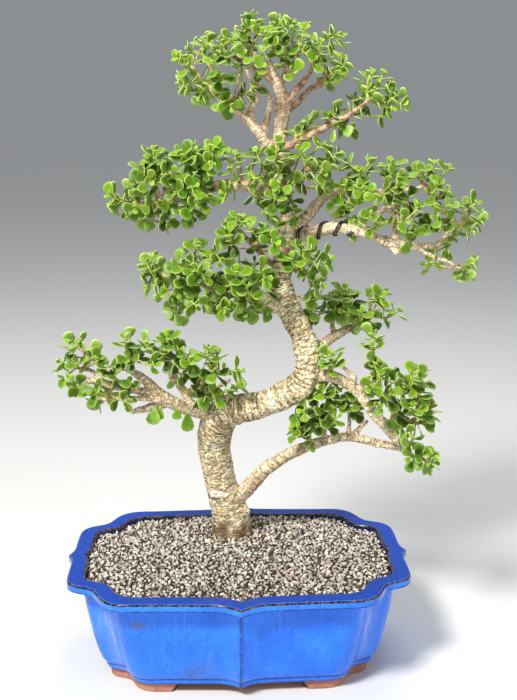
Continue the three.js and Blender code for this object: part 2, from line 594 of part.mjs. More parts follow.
// The nearest point of a piece of wood's limbs to a target that carries no other spray.
function rootOn(limbs, target) {
  const joints = limbs.flatMap((limb) => limb.slice(1)).filter((joint) => !joint.taken);
  const root = joints.reduce((best, joint) =>
    joint.at.distanceTo(target) < best.at.distanceTo(target) ? joint : best);
  root.taken = true;
  return root;
}

// The stem of a spray: its own readings, or a line from the wood towards the middle of its shoots.
function stemOf(name, limbs, ends) {
  if (STEMS[name]) {
    return limbPoints(STEMS[name]).map(({ at, radius }) => ({ at, half: radius * STEM.ownShare, ends: [] }));
  }
  const middle = ends.reduce((sum, end) => sum.add(end), new THREE.Vector3()).divideScalar(ends.length);
  const root = rootOn(limbs, middle);
  const joints = Math.ceil(ends.length / TWIG.perJoint);
  const out = middle.clone().sub(root.at);
  const least = root.radius + STEM.clearOfWood;
  const length = Math.max(out.length() * STEM.reach, least + joints * STEM.leastStep);
  out.normalize();
  const stem = [{ at: root.at.clone(), half: STEM.half, ends: [] }];
  for (let i = 0; i < joints; i++) {
    const along = least + ((length - least) * (i + 1)) / joints;
    stem.push({ at: root.at.clone().addScaledVector(out, along), half: STEM.half, ends: [] });
  }
  return stem;
}

// Gives each shoot's end to the nearest joint of the stem that has a free side.
function shareEnds(stem, ends) {
  ends.forEach((end) => {
    const free = stem.slice(1).filter((joint) => joint.ends.length < TWIG.perJoint);
    const choice = free.reduce((best, joint) =>
      joint.at.distanceTo(end) < best.at.distanceTo(end) ? joint : best);
    choice.ends.push(end);
  });
}

function growStem(spray) {
  const { growth, stem } = spray;
  const frames = framesAlong(stem.map(({ at }) => at));
  let tip = growth.start(stem[0].at, frames[0].forward, stem[0].half);
  stem.slice(1).forEach((joint, i) => {
    const { forward } = frames[i + 1];
    const half = TWIG.joint / 2;
    const near = joint.at.clone().addScaledVector(forward, -half);
    tip = growth.extrude(tip, near, forward, joint.half);
    spray.joined.push(tip.block);
    if (!joint.ends.length) return;
    tip = growth.extrude(tip, near.addScaledVector(forward, TWIG.joint), forward, joint.half);
    joint.block = tip.block;
    joint.sides = [...tip.sides];
    spray.joined.push(tip.block);
  });
  stem.at(-1).sides.push(tip);
  blocks.push(...spray.joined);
}

function growTwigs(spray) {
  const { growth } = spray;
  spray.stem.forEach((joint) => {
    joint.ends.forEach((end) => {
      const direction = end.clone().sub(joint.at).normalize();
      const facing = (face) => growth.normal(face).dot(direction);
      const face = joint.sides.reduce((best, side) => (facing(side) > facing(best) ? side : best));
      if (facing(face) < TWIG.leastFacing) return;
      const before = { points: growth.points.length, faces: new Set(growth.faces) };
      const twig = growth.extrude(face, end, direction, TWIG.endHalf);
      const bud = end.clone().addScaledVector(direction, TWIG.joint);
      const tip = growth.extrude(twig, bud, direction, TWIG.endHalf);
      if (isClear(twig.block, spray.joined)) {
        joint.sides = joint.sides.filter((side) => side !== face);
        blocks.push(twig.block, tip.block);
        spray.tips.push({ tip, direction, joined: [twig.block, tip.block] });
        return;
      }
      growth.points.length = before.points;
      growth.faces = before.faces;
    });
  });
}

// A pair of leaves across each shoot's end, and one that goes on from it.
function growLeaves(spray) {
  spray.tips.forEach(({ tip, direction, joined }, index) => {
    const { growth } = spray;
    const pair = index % 2 ? [0, 2] : [1, 3];
    const across = growth.normal(tip.sides[pair[0]]).cross(direction).normalize();
    pair.forEach((side, i) => {
      const face = tip.sides[side];
      const out = growth.normal(face).multiplyScalar(PAIR.spread).addScaledVector(direction, PAIR.ahead);
      leaf(growth, face, out.normalize(), across, PAIR.sizes[i], joined);
    });
    leaf(growth, tip, direction, across, PAIR.lastSize, joined);
  });
}

// The band of wire, wound round the main limb of a branch between two of its points.
function branchWire(limb) {
  const frames = framesAlong(limb.map(({ at }) => at));
  const steps = Math.round(WIRE.turns * WIRE.stepsPerTurn);
  const rings = Array.from({ length: steps + 1 }, (_, step) => {
    const along = THREE.MathUtils.lerp(WIRE.fromPoint, WIRE.toPoint, step / steps);
    const i = Math.floor(along);
    const share = along - i;
    const [here, next] = [frames[i], frames[i + 1]];
    const centre = here.point.clone().lerp(next.point, share);
    const forward = next.point.clone().sub(here.point).normalize();
    const side = here.side.clone().lerp(next.side, share).normalize();
    const up = forward.clone().cross(side).normalize();
    const turn = Math.PI / 2 - (2 * Math.PI * WIRE.turns * step) / steps;
    const out = side.multiplyScalar(Math.cos(turn)).addScaledVector(up, Math.sin(turn));
    const radius = THREE.MathUtils.lerp(limb[i].radius, limb[i + 1].radius, share);
    const at = centre.addScaledVector(out, radius + WIRE.strand / 2 + 2 * GAP);
    const { shoulder } = WIRE;
    return [[1, 0], [shoulder, 1], [-shoulder, 1], [-1, 0], [-shoulder, -1], [shoulder, -1]].map(([s, o]) =>
      at.clone().addScaledVector(forward, s * WIRE.strand).addScaledVector(out, (o * WIRE.strand) / 2),
    );
  });
  return rings;
}

const group = new THREE.Group();
const trunkLimb = limbPoints(TRUNK);
const trunkParts = [trunkLimb, ...roots()];
const wood = { trunk: [trunkLimb] };

function joinLimbs(limbs, extra) {
  const sides = (limb) => (limb[0].radius > SIDES.thickFrom ? SIDES.thick : SIDES.thin);
  return limbs
    .map((limb) => solid(loft(limbRings(limb, sides(limb), extra))))
    .reduce((sum, one) => sum.add(one));
}

const trunkHull = joinLimbs(trunkParts, GAP);
const swollenWood = [trunkHull];
group.add(meshOf("trunk", joinLimbs(trunkParts), BARK));
registerLimb(limbRings(trunkLimb, SIDES.thick));

Object.entries(BRANCHES).forEach(([name, readings]) => {
  const limbs = readings.map(limbPoints);
  const whole = swollenWood.reduce((left, other) => left.subtract(other), joinLimbs(limbs));
  group.add(meshOf(`${name}_branch`, largestBody(whole), BARK));
  swollenWood.push(joinLimbs(limbs, GAP));
  limbs.forEach((limb) => registerLimb(limbRings(limb, SIDES.thin)));
  wood[name] = limbs;
});

const wireRings = branchWire(wood.wired_right[0]);
registerLimb(wireRings);
const wire = swollenWood.reduce((left, other) => left.subtract(other), solid(loft(wireRings)));
group.add(meshOf("branch_wire", largestBody(wire), WIRE_COAT));

const sprays = SPRAYS.map(([name, on, padName, readings]) => {
  const [across, down, halfWidth, halfHeight, halfDepth, depth] = PADS[padName];
  const ends = readings.map(([u, v], i) => {
    const off = ((u - across) / halfWidth) ** 2 + ((v - down) / halfHeight) ** 2;
    const bulge = halfDepth * Math.sqrt(Math.max(THINNEST_PAD, 1 - off));
    return place(u, v, depth - bulge * SHOOT_DEPTHS[i % SHOOT_DEPTHS.length]).at;
  });
  const stem = stemOf(name, wood[on], ends);
  shareEnds(stem, ends);
  return { name, growth: new Growth(), stem, joined: [], tips: [] };
});
sprays.forEach(growStem);
sprays.forEach(growTwigs);
sprays.forEach(growLeaves);
sprays.forEach(({ name, growth }) => {
  const grown = solid(growth.geometry());
  const fitted = swollenWood.reduce((left, other) => left.subtract(other), grown);
  group.add(meshOf(`${name}_spray`, largestBody(fitted), JADE));
});

group.add(meshOf("pot", pot(), GLAZE));

const meshes = [-1, 1].map(drainMesh);
meshes.forEach((plate, i) => group.add(meshOf(`drain_mesh_${i ? "right" : "left"}`, plate, PLASTIC)));

// Soil fills the pot's inside, round the roots and over the drain meshes.
const innerSteps = [...INNER_WALL].reverse().map(([inset, z]) => [inset + 2 * GAP, z]);
const soilSteps = innerSteps.filter(([, z]) => z < SOIL_TOP).map(([inset, z]) => [inset, z + GAP]);
const soilEdge = INNER_WALL.find(([, z]) => z === SOIL_TOP)[0] + 2 * GAP;
soilSteps.push([soilEdge, SOIL_TOP]);
const meshRoom = [-1, 1].map((side) => {
  const room = new THREE.BoxGeometry(DRAIN_MESH.side + 1, DRAIN_MESH.side + 1, 2 * (DRAIN_MESH.thickness + GAP));
  return solid(room.translate(side * DRAIN.x, 0, FLOOR_Z + GAP));
});
let soil = solid(loft(soilSteps.map(([inset, z]) => planRing(inset, z)))).subtract(trunkHull);
meshRoom.forEach((room) => {
  soil = soil.subtract(room);
});
group.add(meshOf("soil", largestBody(soil), SOIL));

const gritSteps = [
  [soilEdge, SOIL_TOP + GAP], [GRIT_EDGE.inset, GRIT_EDGE.height], [GRIT_CROWN.inset, GRIT_CROWN.height],
];
const grit = solid(loft(gritSteps.map(([inset, z]) => planRing(inset, z)))).subtract(trunkHull);
group.add(meshOf("top_dressing", largestBody(grit), GRIT));

// The origin is on the standing surface, under the middle of the whole object.
const extent = new THREE.Box3().setFromObject(group);
const middle = extent.getCenter(new THREE.Vector3());
group.position.set(-middle.x, -middle.y, -extent.min.z);

const bonsai = new THREE.Group();
bonsai.add(group);
export default bonsai;
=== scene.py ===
"""A dwarf jade bonsai in its blue glazed pot. Lengths are millimetres from the middle of the pot's foot
plane, with +Z up and the long front facing -Y, until to_frame turns them into metres in the row frame."""
import json
import math

import bmesh
import bpy
import numpy as np
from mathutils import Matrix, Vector, noise

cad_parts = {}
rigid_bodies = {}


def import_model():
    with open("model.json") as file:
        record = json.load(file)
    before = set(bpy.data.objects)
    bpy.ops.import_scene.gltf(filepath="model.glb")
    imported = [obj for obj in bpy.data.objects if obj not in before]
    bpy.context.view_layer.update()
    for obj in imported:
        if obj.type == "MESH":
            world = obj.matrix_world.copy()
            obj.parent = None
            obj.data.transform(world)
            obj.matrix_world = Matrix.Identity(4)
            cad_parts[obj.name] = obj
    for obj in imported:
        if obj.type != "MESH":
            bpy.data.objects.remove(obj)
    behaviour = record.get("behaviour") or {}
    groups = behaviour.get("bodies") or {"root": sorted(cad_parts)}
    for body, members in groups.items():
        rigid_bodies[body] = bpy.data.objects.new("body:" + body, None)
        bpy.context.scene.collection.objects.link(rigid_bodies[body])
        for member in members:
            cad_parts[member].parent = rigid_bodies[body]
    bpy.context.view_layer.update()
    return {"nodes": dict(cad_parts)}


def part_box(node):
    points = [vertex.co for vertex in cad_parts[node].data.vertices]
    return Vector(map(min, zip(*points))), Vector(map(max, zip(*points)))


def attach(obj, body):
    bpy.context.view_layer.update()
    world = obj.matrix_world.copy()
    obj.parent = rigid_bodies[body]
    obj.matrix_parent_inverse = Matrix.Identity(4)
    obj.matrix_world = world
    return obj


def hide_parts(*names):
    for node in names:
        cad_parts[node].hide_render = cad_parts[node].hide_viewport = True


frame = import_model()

MM = 0.001
UP = np.array([0.0, 0.0, 1.0])
RNG = np.random.default_rng(17)

# The view that the tree's points were read off, in pixels of a 517 by 700 picture and in millimetres
PICTURE_HEIGHT = 700
VIEW = {"focal": 1100, "across": 258.5, "down": 350, "distance": 1160, "drop": 212.5, "shift": 21.3}
PITCH = math.radians(13)
TURN = math.radians(2.3)  # the pot is turned a little in that view

# Pot
RIM_TOP = 113
END_X = 173
END_LOBE_Y = 80
LONG_LOBE_X = 140
FRONT_Y = 121
NOTCH_RADIUS = 14
END_CORNER_RADIUS = END_X - LONG_LOBE_X - NOTCH_RADIUS
LONG_CORNER_RADIUS = FRONT_Y - END_LOBE_Y - NOTCH_RADIUS
END_CUSP = {"out": 5, "reach": 22}
FRONT_CUSP = {"out": 11, "reach": 28}
FRONT_BOW = 5
RIM_WIDTH = 17
FOOT_HEIGHT = 10
# Each step of a profile is (inset from the rim's outer edge, height).
OUTER_WALL = [
    (35, FOOT_HEIGHT), (33.4, 10.6), (32, 12.4), (31.6, 15.4), (32, 16.6), (30.4, 17.6), (27.6, 22), (25, 30),
    (21.5, 46), (18, 70), (16, 92), (14.5, 102), (2, 104), (0, 104.8), (0, 106.4), (0, 109.9), (0, 110.6),
    (0.6, 112.2), (2, RIM_TOP), (2.6, RIM_TOP)]
INNER_WALL = [
    (RIM_WIDTH - 1.4, RIM_TOP), (RIM_WIDTH - 0.8, 112.9), (RIM_WIDTH + 0.4, 111.6), (RIM_WIDTH + 0.8, 110.6),
    (22, 96), (29, 46), (38, 25), (48, 19)]
UNDERSIDE_INSET = 46
PROFILE_CORNER = 0.9  # how far its corners are rounded back
PROFILE_STEP = 4.5
# How much the end walls draw in besides, towards the foot
END_TAPER = {"share": 0.024, "from_z": 92, "full_z": 20}
# The steps between the lobes are worn soft
NOTCH_WEAR = {"rounds": 20, "reach": 45}
FOOT = {
    "outer": 36, "inner": 51, "from_x": 63, "from_y": 30, "slope": 4, "edge": 1.2, "draft": 0.6, "sunk": 0.5}
RIPPLE = {"across": 26, "up": 60, "share": 0.0022}  # the wall isn't quite even
# Dark lines round the wall where the glaze runs thin: height, width and strength. The one under the lip is
# also painted shade under its overhang
THIN_GLAZE_AND_SHADE_LINES = [(105.3, 0.9, 1), (17.2, 1.1, 1), (12.0, 0.9, 0.85)]
CUSP_SEAM = {"width": 1.7, "strength": 0.8}  # the same down the middle cusps
CORNER_FLOW = {"out": 4, "reach": 13}  # paler glaze beside the steps between the lobes
DRAIN = {"x": 70, "radius": 11}

GRIT_EDGE = 108.5
GRIT_CROWN = {"inset": 60, "height": 111}
GRIT_BED = {"insets": (24, 30, 38, 48, 62), "below": 1.4, "base_below": 4}
GRIT_GAP = 1.5  # between the rim's inner edge and the grains
GRAIN = {
    "pitch": 4.1, "smallest": 1.9, "largest": 3.15, "scatter": 0.42, "sunk": 0.9, "low": 1.1, "high": 0.9}
# How near the trunk rust-coloured grains are common, and their share there and elsewhere
RUST_GRAINS = {"near": 44, "share_near": 0.05, "share": 0.004, "kind": 0.95}
BACK_RISE = {"height": 3.0, "from_y": 55, "reach_x": 120}  # the grit is heaped against the middle of the back
ROOTS = {
    "count": 5, "turns": (-195, 15), "reach": 74, "across": 0.62, "start_z": 100, "drop": 46, "radius": 8}
WIRE = {
    "strand": 1.5, "apart": 2.5, "turns": 3.0, "steps_per_turn": 24, "from_point": 0.12, "to_point": 3.25,
    "lift": 0.6}

# Points of the tree are (across, down, depth, thickness): across, down and thickness in pixels of that
# picture, and depth in millimetres behind the middle of the pot.
TRUNK = [
    (232.5, 556, 63, 44), (232.5, 537, 62, 40), (231, 520, 59, 38), (227.5, 503, 54, 34.5),
    (220.5, 480, 47, 30.5), (216, 460, 41, 31.5), (214.5, 441, 34, 33), (217, 424, 26, 35),
    (227, 412, 17, 33), (243, 408.5, 9, 29.5), (262, 404, 3, 27.5), (282, 396, -2, 27.5),
    (299, 386, -5, 28), (307, 371, -6, 27), (307, 355, -4, 26), (304, 340, 0, 25), (297.5, 325, 5, 23.5),
    (289, 309, 10, 24.5), (283, 293, 13, 25), (280, 274, 14, 19), (282, 254, 12, 17), (289, 235, 9, 19),
    (288, 218, 8, 15.5), (286, 200, 6, 14), (283, 180, 6, 13.5), (280, 160, 5, 13.5), (280, 142, 4, 14),
    (281, 125, 3, 14.5), (282.5, 107, 1, 15), (280, 92, -1, 13), (276, 80, -3, 10), (270, 66, -6, 8),
    (267, 57, -8, 6),
]

# Each branch is its main limb and then its side limbs.
BRANCHES = {
    "lower_left": [
        [(209, 414, 22, 15), (197, 411, 15, 13.5), (184, 407.5, 8, 14), (171, 401.5, 1, 13.5),
         (159, 393.5, -4, 12), (149, 384, -8, 10.5), (140, 376.5, -10, 9), (130, 370, -11, 6)],
        [(166, 399, -1, 9), (150, 393.5, -8, 9), (135, 390, -12, 8), (119, 387.5, -16, 7.5),
         (103, 382.5, -18, 8), (92, 380.5, -19, 7), (81, 383, -19, 4.5)],
        [(168, 403, 0, 9), (151, 407, -7, 8.5), (133, 411.7, -11, 6)],
        [(193, 406, 10, 8.5), (185, 393, 12, 8.5), (176, 380, 14, 8), (170, 374, 14.5, 6),
         (169.5, 358, 14, 4)],
        [(203, 408, 20, 7), (207, 396, 25, 6), (217, 387, 30, 5), (229, 380, 34, 4)],
        [(160, 401, -8, 6), (142, 398.5, -16, 5.5), (124, 398.5, -20, 5), (108, 399, -22, 4.5),
         (97, 398.5, -23, 4)],
        [(101, 380, -18, 5), (92, 371, -20, 4.5), (82, 369, -21, 3.5)],
    ],
    "lower_right": [
        [(236, 499, 52, 18), (252, 483, 43, 15.5), (266, 469, 35, 14), (282, 458, 28, 12.5),
         (298, 450, 21, 11.5), (314, 444, 15, 10.5), (330, 440, 10, 9.5), (345, 437, 6, 9),
         (361, 439, 2, 8.5), (377, 443, 0, 8.5), (391, 446, -1, 8), (403, 450, -3, 5), (414, 457, -5, 3.5)],
        [(348, 437, 6, 5.5), (349, 424, 9, 4.5), (349, 409, 12, 4)],
        [(324, 440, 10, 5), (325, 430, 14, 4), (322, 420, 18, 3.5)],
        [(352, 436, 5, 6), (360, 428, 6, 5.5), (367, 421.5, 7, 4)],
    ],
    "right_mid": [
        [(313, 375, -5, 15), (330, 376, -10, 12.5), (344, 382, -14, 11.5), (357, 391, -18, 11),
         (367, 404, -20, 11), (377, 417, -22, 11), (388, 428, -23, 11.5), (396, 440, -23, 9)],
        [(352, 388, -17, 7), (364, 386, -19, 6), (372, 379, -21, 5), (374, 363, -21, 4)],
        [(384, 424, -22, 8), (398, 427, -19, 6), (409, 422, -17, 4.5), (417, 418, -16, 3.5)],
        [(350, 385, -17, 6), (354, 378, -20, 6.5), (342, 366, -23, 3.5)],
        [(389, 428, -21, 8), (393, 417, -18, 6.5)],
    ],
    "right_back": [
        [(312, 352, 4, 11), (330, 339, 18, 10), (344, 331, 28, 9), (356, 325, 34, 7), (368, 318, 38, 5),
         (379, 310, 40, 4)],
        [(334, 336, 22, 7), (332, 323, 30, 5), (335, 311, 36, 4)],
    ],
    "middle_left": [
        [(285, 306, 12, 18), (275, 306.5, 5, 15), (266, 301.5, -2, 14), (256, 296.5, -7, 12),
         (243, 294, -12, 10), (229, 292, -15, 8.5), (212, 288, -19, 8), (198, 281.5, -21, 7.5),
         (184, 282, -22, 8), (176, 285, -22, 7)],
    ],
    "upper_left": [
        [(286, 192, 6, 15), (262, 187.5, 8, 12.5), (245, 186, 9, 12), (228, 184.5, 10, 11.5),
         (214, 187, 10, 10.5), (193, 195.5, 9, 9), (172, 201.5, 7, 7), (150, 204, 5, 5.5), (133, 203, 3, 4)],
        [(164, 200, 8, 7), (166, 190, 10, 7), (167.5, 177, 12, 5.5)],
        [(206, 189, 10, 8), (210, 176, 14, 8), (208.5, 160, 16, 6)],
        [(160, 203, 6, 6.5), (157, 193, 3, 6.5), (153, 181, 2, 5.5)],
        [(241, 184, 10, 7), (240, 172, 8, 5.5), (239, 159, 6, 4)],
    ],
    "upper_right": [
        [(294, 229, 8, 14), (308, 215, 10, 12), (322, 199, 14, 10.5), (340, 191, 20, 8), (362, 190, 26, 7),
         (385, 192, 30, 6), (405, 190, 32, 5), (424, 187, 31, 4)],
    ],
    "wired_right": [
        [(297, 237, 8, 16), (318, 231, 1, 13.5), (335, 228, -5, 12.5), (350, 229.5, -9, 11),
         (363, 233, -12, 8.5), (375, 237, -13, 8), (386, 241.5, -14, 11), (397, 245, -15, 12),
         (412, 246, -15, 8.5), (432, 246, -14, 7.5), (443, 241, -13, 6.5), (449, 231, -12, 5.5),
         (458, 225, -12, 4.5)],
        [(396, 244, -14, 9), (396, 232, -12, 8), (395.5, 220, -8, 7.5), (396, 210, -5, 7), (393, 201, -2, 5)],
        [(408, 244, -16, 6), (422, 251, -20, 4.5), (436, 258, -23, 4), (449, 262, -25, 3.5),
         (459, 269, -26, 3)],
        [(387, 241, -15, 8), (396, 253, -19, 6.5)],
        [(395, 213, -6, 6), (386, 209, -4, 6), (377, 214, -2, 5.5)],
        [(396, 212, -6, 6), (404, 208, -8, 5), (412, 204, -9, 4)],
    ],
    "apex_left": [
        [(278, 152, 4, 13), (266, 143, -1, 11.5), (259, 132, -4, 10.5), (249, 122, -7, 9),
         (240, 114, -10, 6), (227, 105, -13, 4.5), (216, 96, -15, 4), (208, 83, -16, 3.5)],
        [(252, 124, -5, 9), (250, 111, 2, 8.5), (256, 97, 8, 7), (252, 84, 12, 5), (246, 70, 15, 4)],
        [(264, 138, 1, 7), (266, 122, 6, 7), (270, 106, 10, 6.5), (267, 92, 13, 5), (258, 84, 15, 4)],
    ],
}

# The stems of the side shoots that grow straight from the trunk
STEMS = {
    "middle_upper": [(280, 266, 14, 8), (269, 262, 4, 7), (259, 251, -6, 6), (249, 241, -12, 5),
                     (241, 232, -15, 4)],
    "middle_front": [(282, 260, 12, 8), (292, 264, -8, 6.5), (303, 265, -22, 5), (312, 262, -30, 4)],
    "centre_left": [(287, 203, 4, 6), (272, 190, -12, 5), (264, 171, -24, 4)],
    "centre_right": [(284, 186, 6, 8), (293, 182, -10, 7), (302, 173, -21, 5.5), (312, 165, -28, 4)],
    "top_right": [(281, 149, 4, 8), (300, 141, -3, 8), (315, 133, -7, 8), (334, 122, -10, 7),
                  (348, 115.5, -12, 6), (360, 107, -13, 4.5), (371, 98, -14, 3.5)],
    "apex_right": [(282, 108, 1, 9), (291, 97, -4, 8), (301, 85, -7, 7), (310, 72, -9, 5)],
    "apex_rear": [(284, 112, 4, 8), (297, 103, 10, 7), (307, 92, 13, 6), (321, 80, 15, 5), (329, 73, 16, 4)],
    "apex_top": [(278, 84, -3, 8), (266, 76, -8, 6), (250, 66, -12, 5), (235, 57, -14, 4)],
    "apex_crown": [(279, 88, -2, 7), (284, 78, -6, 6.5), (290, 69, -9, 6), (296, 60, -11, 5),
                   (299, 52, -12, 4)],
}

# A pad of foliage is an egg shape: across, down, half width and half height in pixels, then half depth and
# depth in millimetres.
PADS = {
    "lower_left": (145, 375, 105, 55, 48, -2),
    "middle_left": (235, 272, 100, 62, 52, -8),
    "upper_left": (170, 187, 68, 42, 40, 8),
    "centre": (292, 182, 60, 56, 42, 2),
    "upper_right": (410, 212, 78, 62, 44, 4),
    "right_back": (352, 310, 52, 28, 26, 36),
    "right_mid": (388, 398, 52, 70, 34, -16),
    "lower_right": (328, 412, 50, 40, 32, 14),
    "apex": (262, 62, 90, 55, 50, 0),
    "top_right": (362, 105, 50, 40, 12, 2),
}

# Each spray is one side shoot: what it grows on, its pad, and where its shoots' ends show in the picture.
SPRAYS = {
    "lower_left_tip": ("lower_left", "lower_left", [
        (70, 345), (61, 363), (77, 363), (91, 355), (99, 360), (65, 379), (74, 386), (81, 391)]),
    "lower_left_front": ("lower_left", "lower_left", [
        (93, 391), (91, 401), (116, 373), (105, 394), (129, 385), (125, 402)]),
    "lower_left_crown": ("lower_left", "lower_left", [
        (125, 339), (137, 354), (128, 359), (148, 348), (108, 366), (154, 365)]),
    "lower_left_rise": ("lower_left", "lower_left", [
        (167, 338), (166, 349), (178, 350), (161, 360), (188, 356), (191, 362), (184, 376)]),
    "lower_left_inner": ("lower_left", "lower_left", [
        (207, 351), (217, 356), (212, 370), (198, 385), (223, 371), (238, 371), (240, 385), (229, 390),
        (207, 398), (215, 395)]),
    "middle_left_tip": ("middle_left", "middle_left", [
        (147, 263), (149, 275), (149, 288), (159, 270), (161, 281), (178, 263), (186, 270)]),
    "middle_left_low": ("middle_left", "middle_left", [
        (167, 293), (177, 301), (184, 294), (174, 314), (189, 309), (196, 305), (205, 300), (189, 281)]),
    "middle_left_high": ("middle_left", "middle_left", [
        (195, 269), (186, 251), (198, 248), (206, 263), (216, 251), (205, 275), (211, 279), (221, 262)]),
    "middle_left_front": ("middle_left", "middle_left", [
        (224, 308), (217, 303), (230, 303), (224, 295), (221, 288), (236, 272), (224, 283), (233, 284)]),
    "middle_left_root": ("middle_left", "middle_left", [
        (247, 286), (243, 296), (253, 302), (246, 311), (266, 309), (266, 278), (272, 287), (262, 270),
        (255, 263)]),
    "middle_upper": ("trunk", "middle_left", [
        (229, 231), (233, 225), (240, 219), (222, 243), (232, 243), (250, 228), (262, 229), (277, 225),
        (253, 245), (268, 237), (274, 243)]),
    "middle_front": ("trunk", "middle_left", [
        (291, 259), (300, 248), (310, 251), (318, 257), (327, 259), (319, 269), (308, 275), (319, 285),
        (310, 290), (298, 270)]),
    "upper_left_tip": ("upper_left", "upper_left", [
        (111, 196), (121, 201), (116, 209), (133, 189), (142, 193), (137, 208), (143, 217), (157, 203),
        (159, 213), (170, 220)]),
    "upper_left_high": ("upper_left", "upper_left", [
        (154, 153), (150, 161), (143, 167), (161, 166), (142, 177), (148, 182), (157, 175), (171, 173)]),
    "upper_left_crown": ("upper_left", "upper_left", [
        (180, 153), (188, 151), (183, 161), (200, 162), (197, 170), (211, 151), (217, 149), (209, 166)]),
    "upper_left_front": ("upper_left", "upper_left", [
        (193, 187), (185, 190), (174, 192), (204, 186), (207, 197), (197, 204), (193, 212), (183, 208)]),
    "upper_left_root": ("upper_left", "centre", [
        (225, 194), (231, 170), (236, 157), (259, 199), (268, 210), (276, 196)]),
    "centre_left": ("trunk", "centre", [
        (257, 154), (250, 171), (252, 178), (269, 170), (272, 180), (279, 143), (283, 166), (276, 152)]),
    "centre_right": ("trunk", "centre", [
        (300, 152), (307, 161), (319, 146), (328, 151), (316, 168), (322, 173), (331, 161), (340, 156),
        (291, 178), (292, 184), (279, 187), (309, 178), (324, 189), (293, 203), (295, 216)]),
    "upper_right_root": ("upper_right", "upper_right", [
        (345, 187), (342, 210), (336, 203), (349, 218), (352, 205), (347, 163), (360, 172), (371, 161),
        (365, 178), (358, 188), (365, 192), (359, 201)]),
    "upper_right_high": ("upper_right", "upper_right", [
        (392, 163), (382, 169), (399, 176), (388, 180), (388, 188), (377, 199), (395, 199), (398, 187)]),
    "upper_right_tip": ("upper_right", "upper_right", [
        (420, 170), (412, 173), (431, 166), (446, 169), (426, 177), (438, 185), (444, 192), (431, 193),
        (436, 201)]),
    "wired_right_rise": ("wired_right", "upper_right", [
        (370, 217), (358, 221), (373, 231), (357, 233), (385, 222), (404, 221), (409, 231), (408, 243),
        (400, 212), (409, 196), (418, 207), (415, 217)]),
    "wired_right_tip": ("wired_right", "upper_right", [
        (447, 205), (429, 224), (427, 229), (441, 226), (448, 221), (437, 216), (453, 237), (446, 250),
        (434, 250), (462, 206), (475, 204), (471, 212), (478, 221), (466, 222), (469, 231)]),
    "wired_right_low": ("wired_right", "upper_right", [
        (431, 262), (465, 265), (472, 262), (463, 275), (470, 271)]),
    "right_back_rise": ("right_back", "right_back", [
        (344, 291), (350, 295), (341, 297), (329, 299), (317, 299), (312, 309), (312, 316), (332, 309),
        (341, 309), (346, 303), (344, 312)]),
    "right_back_tip": ("right_back", "right_back", [
        (360, 313), (349, 321), (361, 323), (370, 324), (376, 298), (381, 297), (369, 296), (384, 307),
        (397, 311), (386, 318)]),
    "right_mid_rise": ("right_mid", "right_mid", [
        (330, 356), (326, 352), (334, 366), (373, 339), (373, 348), (376, 363), (375, 372), (383, 379),
        (393, 374), (396, 382), (372, 388)]),
    "right_mid_front": ("right_mid", "right_mid", [
        (391, 394), (380, 397), (380, 405), (401, 402), (411, 399), (411, 408), (403, 415)]),
    "right_mid_high": ("right_mid", "right_mid", [
        (413, 374), (421, 378), (409, 387), (420, 386), (419, 394)]),
    "right_mid_tip": ("right_mid", "right_mid", [
        (421, 411), (431, 408), (427, 422), (420, 423), (399, 429), (407, 434), (413, 442)]),
    "lower_right_tip": ("lower_right", "right_mid", [
        (423, 454), (427, 463), (411, 457), (431, 459)]),
    "lower_right_high": ("lower_right", "lower_right", [
        (322, 391), (336, 395), (344, 387), (344, 400), (336, 405), (353, 402), (356, 411), (317, 394)]),
    "lower_right_rise": ("lower_right", "lower_right", [
        (304, 410), (316, 407), (325, 409), (322, 422), (330, 426), (336, 418)]),
    "lower_right_front": ("lower_right", "lower_right", [
        (297, 426), (306, 426), (296, 433), (309, 441), (302, 431)]),
    "apex_left_tip": ("apex_left", "apex", [
        (183, 83), (193, 89), (200, 96), (206, 94), (195, 75), (188, 66)]),
    "apex_left_high": ("apex_left", "apex", [
        (180, 57), (191, 50), (203, 43), (208, 41), (203, 55), (215, 61), (216, 81), (223, 78)]),
    "apex_left_front": ("apex_left", "apex", [
        (231, 106), (248, 92), (224, 100), (241, 65), (256, 81), (260, 68)]),
    "apex_top": ("trunk", "apex", [
        (231, 40), (240, 40), (223, 43), (216, 50), (226, 55), (243, 55), (250, 17), (251, 28), (260, 28),
        (245, 31), (261, 34), (253, 43)]),
    "apex_crown": ("trunk", "apex", [
        (274, 33), (276, 27), (286, 28), (281, 25), (294, 25), (268, 45), (276, 53), (283, 45), (293, 48),
        (288, 58)]),
    "apex_right": ("trunk", "apex", [
        (304, 30), (298, 40), (313, 61), (316, 46), (303, 51), (293, 71)]),
    "apex_rear": ("trunk", "apex", [
        (337, 37), (326, 38), (334, 56), (344, 65), (318, 50), (336, 71), (329, 80)]),
    "top_right": ("trunk", "top_right", [
        (308, 123), (304, 134), (296, 133), (337, 108), (336, 114), (327, 118), (341, 129), (349, 129),
        (354, 99), (369, 98), (352, 114), (364, 113), (369, 76), (382, 76), (376, 86), (367, 90),
        (387, 89), (379, 103), (392, 98), (402, 106), (389, 108), (385, 116)]),
}
# Single leaves that hang from the wood: where each starts, its depth, and its length in millimetres
HANGING = {
    "lower_left_front": [(93, 393, -22, 22)],
    "lower_left_inner": [(155, 406, -12, 18), (161, 406, -12, 16), (178, 407, 0, 13), (187, 410, 6, 24)],
    "upper_left_root": [(225, 190, 8, 12)],
    "middle_left_root": [(244, 303, -10, 18), (253, 294, -16, 21), (266, 302, -6, 15)],
}
# Where some of a spray's shoots grow from the wood away from its stem
SECOND_ROOTS = {"right_mid_rise": (324, 374, -10), "apex_left_high": (228, 106, -12)}
# How far towards the front (1) or the back (-1) of its pad each shoot in turn ends
FRONT_DEPTHS = [0.95, 0.45, 0.75, 0.2, 0.6]
BACK_DEPTHS = [-0.85, -0.4, -0.65]
BEHIND_SCATTER = 4  # pixels that a shoot behind another is off it

